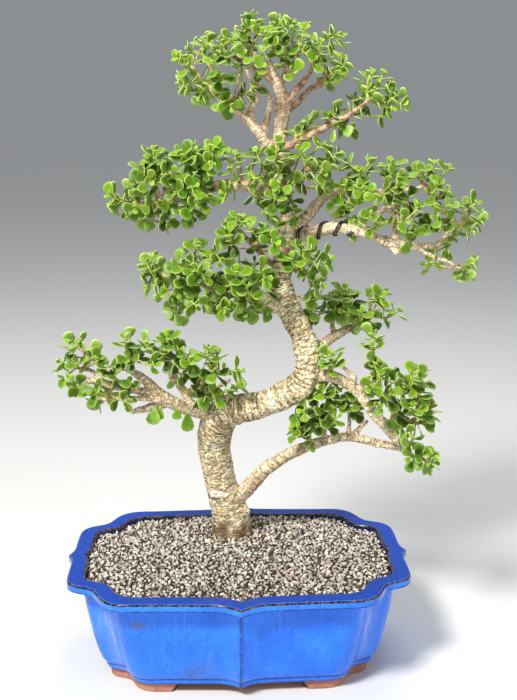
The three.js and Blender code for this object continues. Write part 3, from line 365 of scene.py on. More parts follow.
LEAF = {"length": 16.2, "width": 0.76, "thickness": 1.6}
# How big the leaves of a pad are beside those of the lower pads
LEAF_SHARE = {"apex": 0.87, "top_right": 0.98, "upper_right": 0.95, "centre": 0.92, "lower_left": 0.98}
# The share of the older leaves that a thin pad has lost, and which of its shoots have another behind them
THINNED = {"upper_right": 0.45, "top_right": 0.35, "right_back": 0.35, "apex": 0.1, "lower_right": 0.2,
           "right_mid": 0.35}
BEHIND_EVERY = {"upper_right": 6, "right_back": 5, "top_right": 9}
# A shoot's pairs of leaves from its tip down: size, degrees that they stand off the twig, the distance to
# the next pair, and the share of such leaves that have fallen
PAIRS = [(0.5, 34, 3.0, 0.0), (0.92, 62, 5.0, 0.0), (1.04, 78, 9.0, 0.3), (0.96, 86, 10.0, 0.9)]
# From how much to how much single leaves differ
LEAF_RANGE = {"length": (0.84, 1.12), "width": (0.88, 1.1), "cup": (0.0, 0.07), "bend": (-0.05, 0.14)}
LEAF_TWIST = 0.2
TWIG = {"radius": 0.95, "load_power": 0.5, "step": 3.6, "sides": 6, "wood_cost": 0.45}
# How many millimetres of a twig's end are green, over how many it browns, and how much older a thick one
# looks
AGE = {"green": 11, "fade": 12, "thick": 1.3, "thick_more": 0.35}

low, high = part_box("pot")
POT_MIDDLE = np.array([(low.x + high.x) / 2, (low.y + high.y) / 2, 0.0])


def to_frame(points):
    return np.asarray(points, float) * MM + POT_MIDDLE


def unit(v):
    return v / max(np.linalg.norm(v), 1e-9)


def turned(point):
    """A point of the view's own frame in the pot's."""
    x, y, z = point
    return np.array([x * math.cos(TURN) + y * math.sin(TURN), y * math.cos(TURN) - x * math.sin(TURN), z])


def place(across, down, depth):
    """A point of the view in millimetres, and the millimetres per pixel there."""
    slope = (VIEW["down"] - down) / VIEW["focal"]
    away = VIEW["distance"] + depth * math.cos(PITCH)
    tilt = math.cos(PITCH) + slope * math.sin(PITCH)
    rise = (slope * away + VIEW["drop"] - depth * math.sin(PITCH)) / tilt
    away -= rise * math.sin(PITCH)
    x = (across - VIEW["across"]) * away / VIEW["focal"] + VIEW["shift"]
    return turned([x, depth, rise + RIM_TOP]), away / VIEW["focal"]


def srgb(red, green, blue):
    """A colour given as 0 to 255, in the linear values that shaders take."""
    scaled = [c / 255 for c in (red, green, blue)]
    return tuple(c / 12.92 if c <= 0.04045 else ((c + 0.055) / 1.055) ** 2.4 for c in scaled) + (1.0,)


# Shader parts


def add(tree, kind, settings=None, **values):
    """A node with its settings, and its inputs linked or set by name."""
    made = tree.nodes.new(kind)
    for key, value in (settings or {}).items():
        setattr(made, key, value)
    for key, value in values.items():
        socket = made.inputs[key.replace("_", " ")]
        if isinstance(value, bpy.types.NodeSocket):
            tree.links.new(value, socket)
        else:
            socket.default_value = value
    return made


def link_or_set(tree, socket, value):
    if isinstance(value, bpy.types.NodeSocket):
        tree.links.new(value, socket)
    else:
        socket.default_value = value


def blend(tree, factor, below, above, mode="MIX"):
    """Two colours mixed by a factor."""
    made = tree.nodes.new("ShaderNodeMix")
    made.data_type = "RGBA"
    made.blend_type = mode
    link_or_set(tree, made.inputs[0], factor)
    link_or_set(tree, made.inputs[6], below)
    link_or_set(tree, made.inputs[7], above)
    return made.outputs[2]


def calculate(tree, operation, first, second=0.0, clamp=False):
    made = tree.nodes.new("ShaderNodeMath")
    made.operation = operation
    made.use_clamp = clamp
    link_or_set(tree, made.inputs[0], first)
    link_or_set(tree, made.inputs[1], second)
    return made.outputs[0]


def attribute(tree, name):
    return add(tree, "ShaderNodeAttribute", {"attribute_name": name}).outputs["Fac"]


def ease(tree, value, start, end):
    """0 to 1 as a value goes from a start to an end, eased at both."""
    made = add(tree, "ShaderNodeMapRange", {"interpolation_type": "SMOOTHSTEP"}, Value=value,
               From_Min=start, From_Max=end)
    return made.outputs["Result"]


def ranged(tree, mask, least, most):
    """A mask's 0 to 1 as a value from least to most."""
    return add(tree, "ShaderNodeMapRange", Value=mask, To_Min=least, To_Max=most).outputs["Result"]


def paint(tree, body, mask, share, colour):
    """A colour laid over another where a mask shows, at a share of its strength."""
    return blend(tree, calculate(tree, "MULTIPLY", mask, share), body, colour)


def patchy(tree, name, mask, more):
    """A value that the mesh carries, broken up by a mask that is raised a little first."""
    return calculate(tree, "MULTIPLY", attribute(tree, name), calculate(tree, "ADD", mask, more, True))


def coat(tree, shader, colour, roughness):
    """The shader's colour and roughness."""
    tree.links.new(colour, shader.inputs["Base Color"])
    link_or_set(tree, shader.inputs["Roughness"], roughness)


def new_group(name, **levels):
    """An empty shader node group that takes a Place and the named levels and gives a Mask."""
    group = bpy.data.node_groups.new(name, "ShaderNodeTree")
    group.interface.new_socket("Place", in_out="INPUT", socket_type="NodeSocketVector")
    for label, value in levels.items():
        socket = group.interface.new_socket(label, in_out="INPUT", socket_type="NodeSocketFloat")
        socket.default_value = value
    group.interface.new_socket("Mask", in_out="OUTPUT", socket_type="NodeSocketFloat")
    return group, group.nodes.new("NodeGroupInput").outputs, group.nodes.new("NodeGroupOutput").inputs


def noise_in(group, given):
    made = add(group, "ShaderNodeTexNoise", Vector=given["Place"], Scale=given["Scale"],
               Detail=given["Detail"])
    return made.outputs["Fac"]


def mottle_group():
    """Soft patches: a mask that goes from 0 to 1 between two levels of a noise."""
    group, given, out = new_group("Mottle", Scale=5.0, Detail=3.0, From=0.4, To=0.6)
    patches = noise_in(group, given)
    group.links.new(ease(group, patches, given["From"], given["To"]), out["Mask"])
    return group


def specks_group():
    """Scattered dots: each cell of a pattern has one, and Share is how many of the cells show theirs."""
    group, given, out = new_group("Specks", Scale=300.0, Size=0.3, Share=0.3)
    cells = add(group, "ShaderNodeTexVoronoi", Vector=given["Place"], Scale=given["Scale"])
    dot = ease(group, cells.outputs["Distance"], given["Size"], 0.0)
    chance = add(group, "ShaderNodeSeparateColor", Color=cells.outputs["Color"]).outputs["Red"]
    shown = calculate(group, "LESS_THAN", chance, given["Share"])
    group.links.new(calculate(group, "MULTIPLY", dot, shown), out["Mask"])
    return group


def wrinkles_group():
    """Thin wandering lines where a noise passes its middle: 1 on a line, falling to 0 at Width from it."""
    group, given, out = new_group("Wrinkles", Scale=200.0, Detail=2.0, Width=0.04)
    off = calculate(group, "ABSOLUTE", calculate(group, "SUBTRACT", noise_in(group, given), 0.5))
    group.links.new(ease(group, off, given["Width"], 0.0), out["Mask"])
    return group


MOTTLE = mottle_group()
SPECKS = specks_group()
WRINKLES = wrinkles_group()


def use(tree, group, **values):
    return add(tree, "ShaderNodeGroup", {"node_tree": group}, **values).outputs["Mask"]


def stretched(tree, vector, scale):
    return add(tree, "ShaderNodeMapping", Vector=vector, Scale=scale).outputs["Vector"]


def new_material(name):
    """A material with its shader and object coordinates."""
    made = bpy.data.materials.new(name)
    made.use_nodes = True
    tree = made.node_tree
    shader = tree.nodes["Principled BSDF"]
    where = tree.nodes.new("ShaderNodeTexCoord").outputs["Object"]
    return made, tree, shader, where


def relief(tree, shader, height, distance, strength=1.0):
    bump = add(tree, "ShaderNodeBump", Height=height, Distance=distance, Strength=strength)
    tree.links.new(bump.outputs["Normal"], shader.inputs["Normal"])


def glaze_material():
    made, tree, shader, where = new_material("cobalt_glaze")
    clouds = use(tree, MOTTLE, Place=where, Scale=22.0, Detail=4.0, From=0.35, To=0.68)
    downwards = stretched(tree, where, (1.0, 1.0, 0.1))
    runs = use(tree, MOTTLE, Place=downwards, Scale=160.0, Detail=3.0, From=0.5, To=0.8)
    grain = use(tree, MOTTLE, Place=where, Scale=560.0, Detail=2.0, From=0.42, To=0.62)
    thin_spots = use(tree, MOTTLE, Place=where, Scale=320.0, Detail=4.0, From=0.42, To=0.6)
    body = blend(tree, clouds, srgb(38, 134, 255), srgb(32, 114, 238))
    body = paint(tree, body, runs, 0.25, srgb(110, 166, 252))
    body = paint(tree, body, grain, 0.42, srgb(14, 74, 206))
    pale = use(tree, SPECKS, Place=where, Scale=640.0, Size=0.5, Share=0.34)
    body = paint(tree, body, pale, 0.4, srgb(120, 172, 255))
    body = blend(tree, patchy(tree, "corner_flow", runs, 0.35), body, srgb(146, 164, 240))
    rim = blend(tree, grain, srgb(8, 66, 170), srgb(6, 50, 146))
    body = blend(tree, attribute(tree, "rim_top"), body, rim)
    # Painted shade: the inside wall above the grit is darkened to a near black blue
    body = blend(tree, attribute(tree, "inner_wall_shade"), body, srgb(6, 22, 66))
    dark = use(tree, SPECKS, Place=where, Scale=430.0, Size=0.34, Share=0.12)
    body = paint(tree, body, dark, 0.6, srgb(14, 26, 90))
    body = blend(tree, patchy(tree, "smudge", clouds, 0.5), body, srgb(92, 98, 72))
    # Dark lines where the glaze runs thin, the one under the lip also painted shade under its overhang
    body = blend(tree, patchy(tree, "thin_glaze_and_shade", thin_spots, 0.55), body, srgb(14, 26, 96))
    bare_edge = blend(tree, thin_spots, srgb(20, 18, 22), srgb(92, 76, 66))
    body = blend(tree, attribute(tree, "worn_edge"), body, bare_edge)
    coat(tree, shader, body, ranged(tree, clouds, 0.16, 0.27))
    shader.inputs["Specular IOR Level"].default_value = 0.4
    orange_peel = use(tree, MOTTLE, Place=where, Scale=150.0, Detail=2.0, From=0.2, To=0.8)
    relief(tree, shader, orange_peel, 0.0004, 0.5)
    return made


def clay_material():
    made, tree, shader, where = new_material("bare_clay")
    patches = use(tree, MOTTLE, Place=where, Scale=60.0, Detail=4.0, From=0.35, To=0.65)
    body = blend(tree, patches, srgb(190, 132, 108), srgb(158, 104, 86))
    grog = use(tree, SPECKS, Place=where, Scale=420.0, Size=0.4, Share=0.3)
    body = blend(tree, grog, body, srgb(216, 164, 134))
    stain = use(tree, MOTTLE, Place=where, Scale=200.0, Detail=3.0, From=0.5, To=0.7)
    body = paint(tree, body, stain, 0.4, srgb(120, 82, 72))
    coat(tree, shader, body, 0.85)
    relief(tree, shader, calculate(tree, "ADD", patches, grog), 0.0006, 0.6)
    return made


def bark_material():
    """Pale cork, patterned in the limb's own unrolled place, so that flecks and wrinkles follow the limb."""
    made, tree, shader, where = new_material("corky_bark")
    limb = add(tree, "ShaderNodeAttribute", {"attribute_name": "limb_place"}).outputs["Vector"]
    tone = use(tree, MOTTLE, Place=where, Scale=70.0, Detail=5.0, From=0.36, To=0.64)
    body = blend(tree, tone, srgb(255, 248, 212), srgb(246, 224, 176))
    flecks = use(tree, MOTTLE, Place=stretched(tree, limb, (1.0, 0.7, 0.7)), Scale=400.0, Detail=4.0,
                 From=0.55, To=0.6)
    body = paint(tree, body, flecks, 0.74, srgb(132, 94, 50))
    net = use(tree, WRINKLES, Place=stretched(tree, limb, (1.0, 0.85, 0.85)), Scale=210.0, Detail=2.0,
              Width=0.05)
    body = paint(tree, body, net, 0.7, srgb(104, 68, 36))
    body = blend(tree, patchy(tree, "weathered", flecks, 0.3), body, srgb(150, 128, 104))
    lines = use(tree, WRINKLES, Place=stretched(tree, limb, (1.0, 0.14, 0.14)), Scale=150.0, Detail=2.0,
                Width=0.06)
    body = paint(tree, body, lines, attribute(tree, "ringed"), srgb(96, 62, 34))
    body = paint(tree, body, attribute(tree, "groove"), 0.9, srgb(76, 46, 26))
    streaks = use(tree, MOTTLE, Place=stretched(tree, limb, (0.16, 1.0, 1.0)), Scale=300.0, Detail=3.0,
                  From=0.42, To=0.64)
    smooth = blend(tree, streaks, srgb(244, 216, 188), srgb(178, 136, 108))
    body = paint(tree, body, attribute(tree, "smooth_wood"), 0.66, smooth)
    stain = blend(tree, tone, srgb(150, 112, 74), srgb(84, 54, 34))
    body = paint(tree, body, attribute(tree, "soil_stain"), 0.85, stain)
    cut = blend(tree, flecks, srgb(252, 246, 230), srgb(226, 216, 194))
    body = blend(tree, attribute(tree, "cut_wood"), body, cut)
    coat(tree, shader, body, 0.78)
    shader.inputs["Specular IOR Level"].default_value = 0.3
    skin = use(tree, MOTTLE, Place=stretched(tree, limb, (1.0, 0.6, 0.6)), Scale=420.0, Detail=4.0,
               From=0.3, To=0.7)
    relief(tree, shader, calculate(tree, "SUBTRACT", skin, calculate(tree, "ADD", lines, net)), 0.0009, 0.8)
    return made


def leaf_material():
    made, tree, shader, where = new_material("jade_leaf")
    youth = attribute(tree, "youth")
    body = blend(tree, attribute(tree, "tint"), srgb(88, 146, 4), srgb(22, 72, 2))
    body = blend(tree, youth, body, srgb(160, 206, 34))
    # Painted shade: leaves deep inside a pad are darkened towards a near black green
    body = blend(tree, attribute(tree, "inner"), body, srgb(6, 28, 0))
    body = blend(tree, attribute(tree, "underside"), body, srgb(104, 146, 48))
    cells = use(tree, MOTTLE, Place=where, Scale=240.0, Detail=3.0, From=0.35, To=0.7)
    body = paint(tree, body, cells, 0.2, srgb(150, 188, 62))
    body = paint(tree, body, attribute(tree, "margin"), 0.75, srgb(214, 234, 132))
    coat(tree, shader, body, ranged(tree, cells, 0.34, 0.46))
    shader.inputs["Specular IOR Level"].default_value = 0.26
    shader.inputs["Subsurface Weight"].default_value = 0.1
    shader.inputs["Subsurface Radius"].default_value = (0.4, 1.0, 0.1)
    shader.inputs["Subsurface Scale"].default_value = 0.0012
    relief(tree, shader, cells, 0.0003, 0.4)
    return made


def twig_material():
    made, tree, shader, where = new_material("green_and_brown_twig")
    patches = use(tree, MOTTLE, Place=where, Scale=220.0, Detail=3.0, From=0.4, To=0.6)
    old = blend(tree, patches, srgb(196, 160, 132), srgb(134, 98, 76))
    young = blend(tree, patches, srgb(170, 196, 60), srgb(150, 150, 60))
    body = blend(tree, attribute(tree, "age"), young, old)
    coat(tree, shader, body, 0.5)
    relief(tree, shader, patches, 0.0004, 0.6)
    return made


def grain_material():
    made, tree, shader, where = new_material("crushed_stone_grain")
    kind = attribute(tree, "kind")
    ramp = add(tree, "ShaderNodeValToRGB", Fac=kind)
    stops = [(0.0, (92, 86, 80)), (0.12, (140, 131, 120)), (0.3, (184, 174, 160)), (0.55, (214, 204, 190)),
             (0.75, (234, 226, 212)), (0.88, (226, 202, 186)), (0.97, (214, 158, 122))]
    elements = ramp.color_ramp.elements
    elements[0].position, elements[0].color = stops[0][0], srgb(*stops[0][1])
    elements[1].position, elements[1].color = stops[-1][0], srgb(*stops[-1][1])
    for position, colour in stops[1:-1]:
        elements.new(position).color = srgb(*colour)
    dust = use(tree, MOTTLE, Place=where, Scale=520.0, Detail=3.0, From=0.4, To=0.65)
    body = paint(tree, ramp.outputs["Color"], dust, 0.3, srgb(132, 120, 108))
    coat(tree, shader, body, 0.88)
    relief(tree, shader, dust, 0.0004, 0.5)
    return made


def earth_material(name, dry, damp):
    made, tree, shader, where = new_material(name)
    crumbs = use(tree, MOTTLE, Place=where, Scale=240.0, Detail=5.0, From=0.35, To=0.65)
    coat(tree, shader, blend(tree, crumbs, srgb(*dry), srgb(*damp)), 0.95)
    relief(tree, shader, crumbs, 0.0015)
    return made


def wire_material():
    made, tree, shader, where = new_material("black_wire_coat")
    scuffs = use(tree, MOTTLE, Place=where, Scale=500.0, Detail=3.0, From=0.55, To=0.7)
    coat(tree, shader, blend(tree, scuffs, srgb(24, 23, 24), srgb(70, 68, 68)), 0.42)
    relief(tree, shader, scuffs, 0.0002, 0.4)
    return made


def floor_material():
    made, _, shader, _ = new_material("pale_floor")
    shader.inputs["Base Color"].default_value = srgb(218, 218, 216)
    shader.inputs["Roughness"].default_value = 0.9
    shader.inputs["Specular IOR Level"].default_value = 0.1
    return made


# Meshes


def mesh_from(name, points, faces, smooth=True):
    mesh = bpy.data.meshes.new(name)
    mesh.from_pydata(to_frame(points).tolist(), [], faces)
    mesh.polygons.foreach_set("use_smooth", [smooth] * len(mesh.polygons))
    return mesh


def give(mesh, name, values):
    """A value or a place for each point of the mesh, for its material to read."""
    values = np.asarray(values, np.float32)
    if values.ndim == 1:
        mesh.attributes.new(name, "FLOAT", "POINT").data.foreach_set("value", values)
    else:
        mesh.attributes.new(name, "FLOAT_VECTOR", "POINT").data.foreach_set("vector", values.ravel())


def put_in_scene(name, data):
    made = bpy.data.objects.new(name, data)
    bpy.context.scene.collection.objects.link(made)
    return made


def finished_mesh(made):
    """What an object's modifiers make of its mesh."""
    return bpy.data.meshes.new_from_object(made.evaluated_get(bpy.context.evaluated_depsgraph_get()))


def add_piece(name, mesh, materials, slot, *nodes):
    """Puts a finished mesh in the scene as a piece that stands for CAD nodes."""
    for material in materials:
        mesh.materials.append(material)
    made = put_in_scene(name, mesh)
    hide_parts(*nodes)
    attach(made, "root")
    return made


def join_parts(parts):
    """Parts of (points, faces) as one list of points and one of faces."""
    points, faces, first = [], [], 0
    for part_points, part_faces in parts:
        points.append(part_points)
        faces += [[first + i for i in face] for face in part_faces]
        first += len(part_points)
    return np.vstack(points), faces


def band_faces(rows, count, flipped=False):
    """The faces of a closed band: rows of points, each with the same count."""
    faces = []
    for row in range(rows - 1):
        for i in range(count):
            j = (i + 1) % count
            a, b, c, d = row * count + i, row * count + j, (row + 1) * count + j, (row + 1) * count + i
            faces.append([a, d, c, b] if flipped else [a, b, c, d])
    return faces


def run_along(line):
    """How far along a line each of its points is."""
    return np.concatenate([[0], np.cumsum(np.linalg.norm(np.diff(line, axis=0), axis=1))])


def turned_frames(line):
    """Two directions across a line at each of its points, carried along without twisting."""
    ahead = np.gradient(line, axis=0)
    ahead /= np.maximum(np.linalg.norm(ahead, axis=1, keepdims=True), 1e-9)
    side = unit(np.cross(ahead[0], [0.0, 1.0, 0.0] if abs(ahead[0][1]) < 0.9 else [1.0, 0.0, 0.0]))
    sides = []
    for forward in ahead:
        side = unit(side - forward * side.dot(forward))
        sides.append(side)
    sides = np.array(sides)
    return ahead, sides, np.cross(ahead, sides)


def tube(line, radii, sides, round_end=False):
    """A closed tube along a line, with a radius for each of its points."""
    line = np.asarray(line, float)
    radii = np.asarray(radii, float)
    if round_end:
        forward = unit(line[-1] - line[-2])
        turns = np.radians([35, 65, 82])
        cap = line[-1] + forward * (radii[-1] * np.sin(turns))[:, None]
        line = np.vstack([line, cap])
        radii = np.concatenate([radii, radii[-1] * np.cos(turns)])
    _, side, up = turned_frames(line)
    turn = np.arange(sides) * 2 * math.pi / sides
    rings = line[:, None] + radii[:, None, None] * (
        np.cos(turn)[None, :, None] * side[:, None] + np.sin(turn)[None, :, None] * up[:, None])
    count = len(line)
    faces = band_faces(count, sides)
    faces.append(list(range(sides))[::-1])
    faces.append([(count - 1) * sides + i for i in range(sides)])
    return rings.reshape(-1, 3), faces


def limb_rows(readings):
    """A limb's readings as points with radii, in millimetres."""
    rows = []
    for across, down, depth, thickness in readings:
        at, scale = place(across, down, depth)
        rows.append([*at, thickness / 2 * scale])
    return np.array(rows)


def limb_line(readings, step):
    """A limb's readings as a smooth row of points with radii, a step apart."""
    rows = limb_rows(readings)
    held = np.vstack([2 * rows[0] - rows[1], rows, 2 * rows[-1] - rows[-2]])
    out = []
    for i in range(len(rows) - 1):
        a, b, c, d = held[i:i + 4]
        steps = max(1, math.ceil(np.linalg.norm(c[:3] - b[:3]) / step))
        for t in np.arange(steps) / steps:
            out.append(0.5 * (2 * b + (c - a) * t + (2 * a - 5 * b + 4 * c - d) * t**2
                              + (3 * b - a - 3 * c + d) * t**3))
    out.append(rows[-1])
    return np.array(out)


# Wood


def grown_skin(parts, voxel):
    """One skin round closed parts that run into each other, as points and faces in millimetres."""
    points, faces = join_parts(parts)
    mesh = bpy.data.meshes.new("skin")
    mesh.from_pydata((points * MM).tolist(), [], faces)
    holder = put_in_scene("skin", mesh)
    remesh = holder.modifiers.new("skin", "REMESH")
    remesh.mode = "VOXEL"
    remesh.voxel_size = voxel * MM
    soften = holder.modifiers.new("soften", "SMOOTH")
    soften.factor = 0.5
    soften.iterations = 4
    skin = finished_mesh(holder)
    count = len(skin.vertices)
    places, normals = np.zeros(count * 3), np.zeros(count * 3)
    skin.vertices.foreach_get("co", places)
    skin.vertices.foreach_get("normal", normals)
    skin_faces = [list(face.vertices) for face in skin.polygons]
    bpy.data.objects.remove(holder)
    bpy.data.meshes.remove(mesh)
    bpy.data.meshes.remove(skin)
    return places.reshape(-1, 3) / MM, normals.reshape(-1, 3), skin_faces


LIMB_OFFSET = 61  # millimetres, so that no two limbs have the same pattern


def nearest_on(lines, points):
    """For each point of a skin, its place unrolled along the nearest limb, as millimetres along it and two
    ways across it, and how sharply the limb bends there towards the point."""
    parts = []
    for number, line in enumerate(lines):
        spine = line[:, :3]
        run = run_along(spine)
        ahead, side, up = turned_frames(spine)
        bend = np.gradient(ahead, run, axis=0)
        parts.append(np.column_stack([spine, run + LIMB_OFFSET * number, ahead, side, up, bend]))
    parts = np.vstack(parts)
    nearest = np.concatenate([
        np.argmin(((chunk[:, None] - parts[None, :, :3]) ** 2).sum(2), axis=1)
        for chunk in np.array_split(points, max(1, len(points) // 4000))])
    mine = parts[nearest]
    off = points - mine[:, :3]
    along, side, up, bend = [(off * mine[:, k:k + 3]).sum(1) for k in (4, 7, 10, 13)]
    return np.column_stack([mine[:, 3] + along, side, up]), bend


# Thin lines ring the wood above the first bend more than below it
LINED_WOOD = {"from_z": 205, "full_z": 245}
# The younger wood up there has a smoother, pinker skin
SMOOTH_WOOD = {"from_z": 395, "full_z": 480}
# How bark rings wander, gather where a limb bends and come in patches, and how narrow and deep they are
RING = {"wander": 0.5, "waver": 0.12, "gather": 3.4, "patches": 1.3, "narrow": 0.42, "deep": 0.65}


def wood_look(points, normals, lines, ring_pitch, ringed, lump):
    """Moves a skin's points in and out as bark and returns them with the values that its material reads.
    Rings show where the limb bends inwards, and as much as ringed says elsewhere."""
    local, inwards = nearest_on(lines, points)
    depth, groove = [], []
    for at, across, squeeze, least in zip(points, local, inwards, np.broadcast_to(ringed, len(points))):
        p = Vector(at)
        q = Vector((across[0] / 2.4, across[1] / 6.5, across[2] / 6.5))
        wander = noise.noise(p / 17) * RING["wander"] + noise.noise(p / 5) * RING["waver"]
        strength = least + RING["gather"] * squeeze + RING["patches"] * noise.noise(p / 15)
        close = abs((across[0] / ring_pitch + wander) % 1 - 0.5) * 2
        ring = max(0.0, 1 - close * RING["narrow"] * ring_pitch) * min(1.0, max(0.0, strength))
        knobs = noise.noise(p / 14) * lump + noise.noise(p / 5) * lump * 0.6 + noise.noise(q) * 0.6
        groove.append(ring)
        depth.append(knobs - ring * RING["deep"])
    moved = points + normals * np.array(depth)[:, None]
    look = {
        "groove": np.array(groove),
        "weathered": np.clip(normals[:, 2] - 0.35, 0, 0.65) / 0.65,
        "ringed": np.interp(points[:, 2], (LINED_WOOD["from_z"], LINED_WOOD["full_z"]), (0.12, 0.66)),
        "smooth_wood": np.interp(points[:, 2], (SMOOTH_WOOD["from_z"], SMOOTH_WOOD["full_z"]), (0, 1)),
        "limb_place": local * MM,
    }
    return moved, look


def rounded_tube(line, sides=14):
    return tube(line[:, :3], line[:, 3], sides, round_end=True)


def root_lines():
    foot, _ = place(*TRUNK[0][:3])
    lines = []
    for i in range(ROOTS["count"]):
        turn = math.radians(np.interp(i, (0, ROOTS["count"] - 1), ROOTS["turns"]))
        reach = ROOTS["reach"] * (ROOTS["across"] + (1 - ROOTS["across"]) * abs(math.cos(turn)))
        share = np.linspace(0, 1, 12)
        lines.append(np.column_stack([
            foot[0] + reach * share * math.cos(turn),
            foot[1] + reach * share * math.sin(turn),
            ROOTS["start_z"] - ROOTS["drop"] * share**1.4,
            ROOTS["radius"] * (1 - 0.75 * share)]))
    return lines


TRUNK_SKIN = {"voxel": 1.05, "ring_pitch": 5.4, "lump": 1.2}
BRANCH_SKIN = {"voxel": 0.95, "lump": 0.55}
# How high above the rim soil stains the trunk, how ragged the stain is, and over what height it fades
SOIL_STAIN = {"height": 22, "ragged": 24, "patch": 9, "fade": 24}
# How far apart a branch's rings are in millimetres, and how strongly they show
RINGS = {"lower_right": (9.5, 0.8), "upper_left": (7.0, 0.4), "other": (7.0, 0.1)}

# Scar, stub and knob of the trunk, in the view's own readings
SCAR = {"across": 219, "down": 493.5, "reach": 9.0, "height": 5.0, "wedge": 0.35, "ragged": 0.35}
STUB = [(294, 306, 4, 6), (298, 300, 0, 5.5), (302.5, 293.5, -4, 5)]
KNOB = [(240, 506, 50, 14), (245, 511, 47, 11)]


def cut_scar(points, line, look):
    """Presses the cut scar flat on the front of the trunk, with a callus lip round it."""
    height = place(SCAR["across"], SCAR["down"], 30)[0][2]
    heart = line[np.argmin(np.abs(line[:, 2] - height))]
    middle, scale = place(SCAR["across"], SCAR["down"], heart[1] - heart[3])
    dx = (points[:, 0] - middle[0]) / (SCAR["reach"] * scale)
    dz = (points[:, 2] - middle[2]) / (SCAR["height"] * scale)
    off = np.hypot(dx, dz * (1 + SCAR["wedge"] * dx))
    off += SCAR["ragged"] * np.array([noise.noise(Vector(p) / 3.5) for p in points])
    front = points[:, 1] < heart[1]
    inside = front & (off < 1)
    flat = np.clip((1 - off) * 6, 0, 1)
    level = points[inside, 1].min() + 1.6
    points[inside, 1] += (level - points[inside, 1]) * flat[inside]
    lip = front & (off >= 1) & (off < 1.5)
    points[lip, 1] -= 0.7 * np.sin((off[lip] - 1) * 2 * math.pi)
    look["cut_wood"] = np.where(inside, flat, 0.0)
    look["groove"] = np.where(inside, 0, np.where(lip & (dz < -0.3), 0.5, look["groove"]))


def trunk_piece(bark):
    line = limb_line(TRUNK, 4)
    stub, knob = limb_line(STUB, 2), limb_line(KNOB, 2)
    roots = root_lines()
    parts = [rounded_tube(line, 28), tube(stub[:, :3], stub[:, 3], 14), rounded_tube(knob)]
    parts += [rounded_tube(root) for root in roots]
    points, normals, faces = grown_skin(parts, TRUNK_SKIN["voxel"])
    ringed = np.interp(points[:, 2], (LINED_WOOD["from_z"], LINED_WOOD["full_z"]), (-0.25, 0.5))
    points, look = wood_look(
        points, normals, [line, *roots], TRUNK_SKIN["ring_pitch"], ringed, TRUNK_SKIN["lump"])
    height = points[:, 2] - RIM_TOP
    speckle = np.array([noise.noise(Vector(p) / SOIL_STAIN["patch"]) for p in points])
    stain = SOIL_STAIN["height"] - height + SOIL_STAIN["ragged"] * speckle
    look["soil_stain"] = np.clip(stain / SOIL_STAIN["fade"], 0, 1)
    cut_scar(points, line, look)
    end = stub[-1, :3]
    stub_end = np.linalg.norm(points - end, axis=1) < stub[-1, 3] * 1.15
    look["cut_wood"] = np.maximum(look["cut_wood"], stub_end)
    finish_wood("trunk_bark", points, faces, look, bark, "trunk")


def finish_wood(name, points, faces, look, bark, node):
    mesh = mesh_from(name, points, faces)
    for key in ("groove", "weathered", "ringed", "smooth_wood", "soil_stain", "cut_wood", "limb_place"):
        give(mesh, key, look.get(key, np.zeros(len(points))))
    add_piece(name, mesh, [bark], "bark", node)


def branch_piece(name, limbs, bark):
    lines = [limb_line(limb, 3) for limb in limbs]
    points, normals, faces = grown_skin([rounded_tube(line) for line in lines], BRANCH_SKIN["voxel"])
    rings = RINGS.get(name, RINGS["other"])
    points, look = wood_look(points, normals, lines, *rings, BRANCH_SKIN["lump"])
    look["ringed"] *= 0.5
    look["weathered"] *= 0.5
    look["smooth_wood"] = np.maximum(look["smooth_wood"], 0.5)
    finish_wood(f"{name}_bark", points, faces, look, bark, f"{name}_branch")


def wire_piece(material):
    limb = limb_rows(BRANCHES["wired_right"][0])
    _, side, _ = turned_frames(limb[:, :3])
    steps = round(WIRE["turns"] * WIRE["steps_per_turn"])
    strands = [[], []]
    for step in range(steps + 1):
        at = WIRE["from_point"] + (WIRE["to_point"] - WIRE["from_point"]) * step / steps
        i = int(at)
        here, ahead = limb[i], limb[i + 1]
        centre = here + (ahead - here) * (at - i)
        forward = unit(ahead[:3] - here[:3])
        across = unit(side[i] - forward * side[i].dot(forward))
        turn = math.pi / 2 - 2 * math.pi * WIRE["turns"] * step / steps
        out = across * math.cos(turn) + np.cross(forward, across) * math.sin(turn)
        middle = centre[:3] + out * (centre[3] + WIRE["strand"] / 2 + WIRE["lift"])
        for strand, way in zip(strands, (-0.5, 0.5)):
            strand.append(middle + forward * way * WIRE["apart"])
    points, faces = join_parts([tube(s, [WIRE["strand"] / 2] * len(s), 10, round_end=True) for s in strands])
    mesh = mesh_from("training_wire", points, faces)
    add_piece("training_wire", mesh, [material], "black_wire", "branch_wire")


# Pot


def swell(distance, cusp):
    return cusp["out"] * max(0.0, 1 - distance / cusp["reach"]) ** 2


def quarter_plan():
    """A quarter of the rim's outline, from the end cusp to the back cusp."""
    points = [(END_X + swell(y, END_CUSP), y) for y in np.linspace(0, END_CUSP["reach"], 12)]
    points += [(END_X, y) for y in np.linspace(END_CUSP["reach"], END_LOBE_Y - END_CORNER_RADIUS, 9)[1:]]

    def arc(x, y, radius, start, end, steps):
        for turn in np.radians(np.linspace(start, end, steps))[1:]:
            points.append((x + radius * math.cos(turn), y + radius * math.sin(turn)))

    arc(END_X - END_CORNER_RADIUS, END_LOBE_Y - END_CORNER_RADIUS, END_CORNER_RADIUS, 0, 90, 12)
    arc(LONG_LOBE_X + NOTCH_RADIUS, END_LOBE_Y + NOTCH_RADIUS, NOTCH_RADIUS, -90, -180, 10)
    arc(LONG_LOBE_X - LONG_CORNER_RADIUS, FRONT_Y - LONG_CORNER_RADIUS, LONG_CORNER_RADIUS, 0, 90, 12)
    straight = LONG_LOBE_X - LONG_CORNER_RADIUS
    runs = [*np.linspace(straight, FRONT_CUSP["reach"], 22)[1:], *np.linspace(FRONT_CUSP["reach"], 0, 14)[1:]]
    for x in runs:
        points.append((x, FRONT_Y + FRONT_BOW * (1 - x / straight) ** 1.5 + swell(x, FRONT_CUSP)))
    return np.array(points)


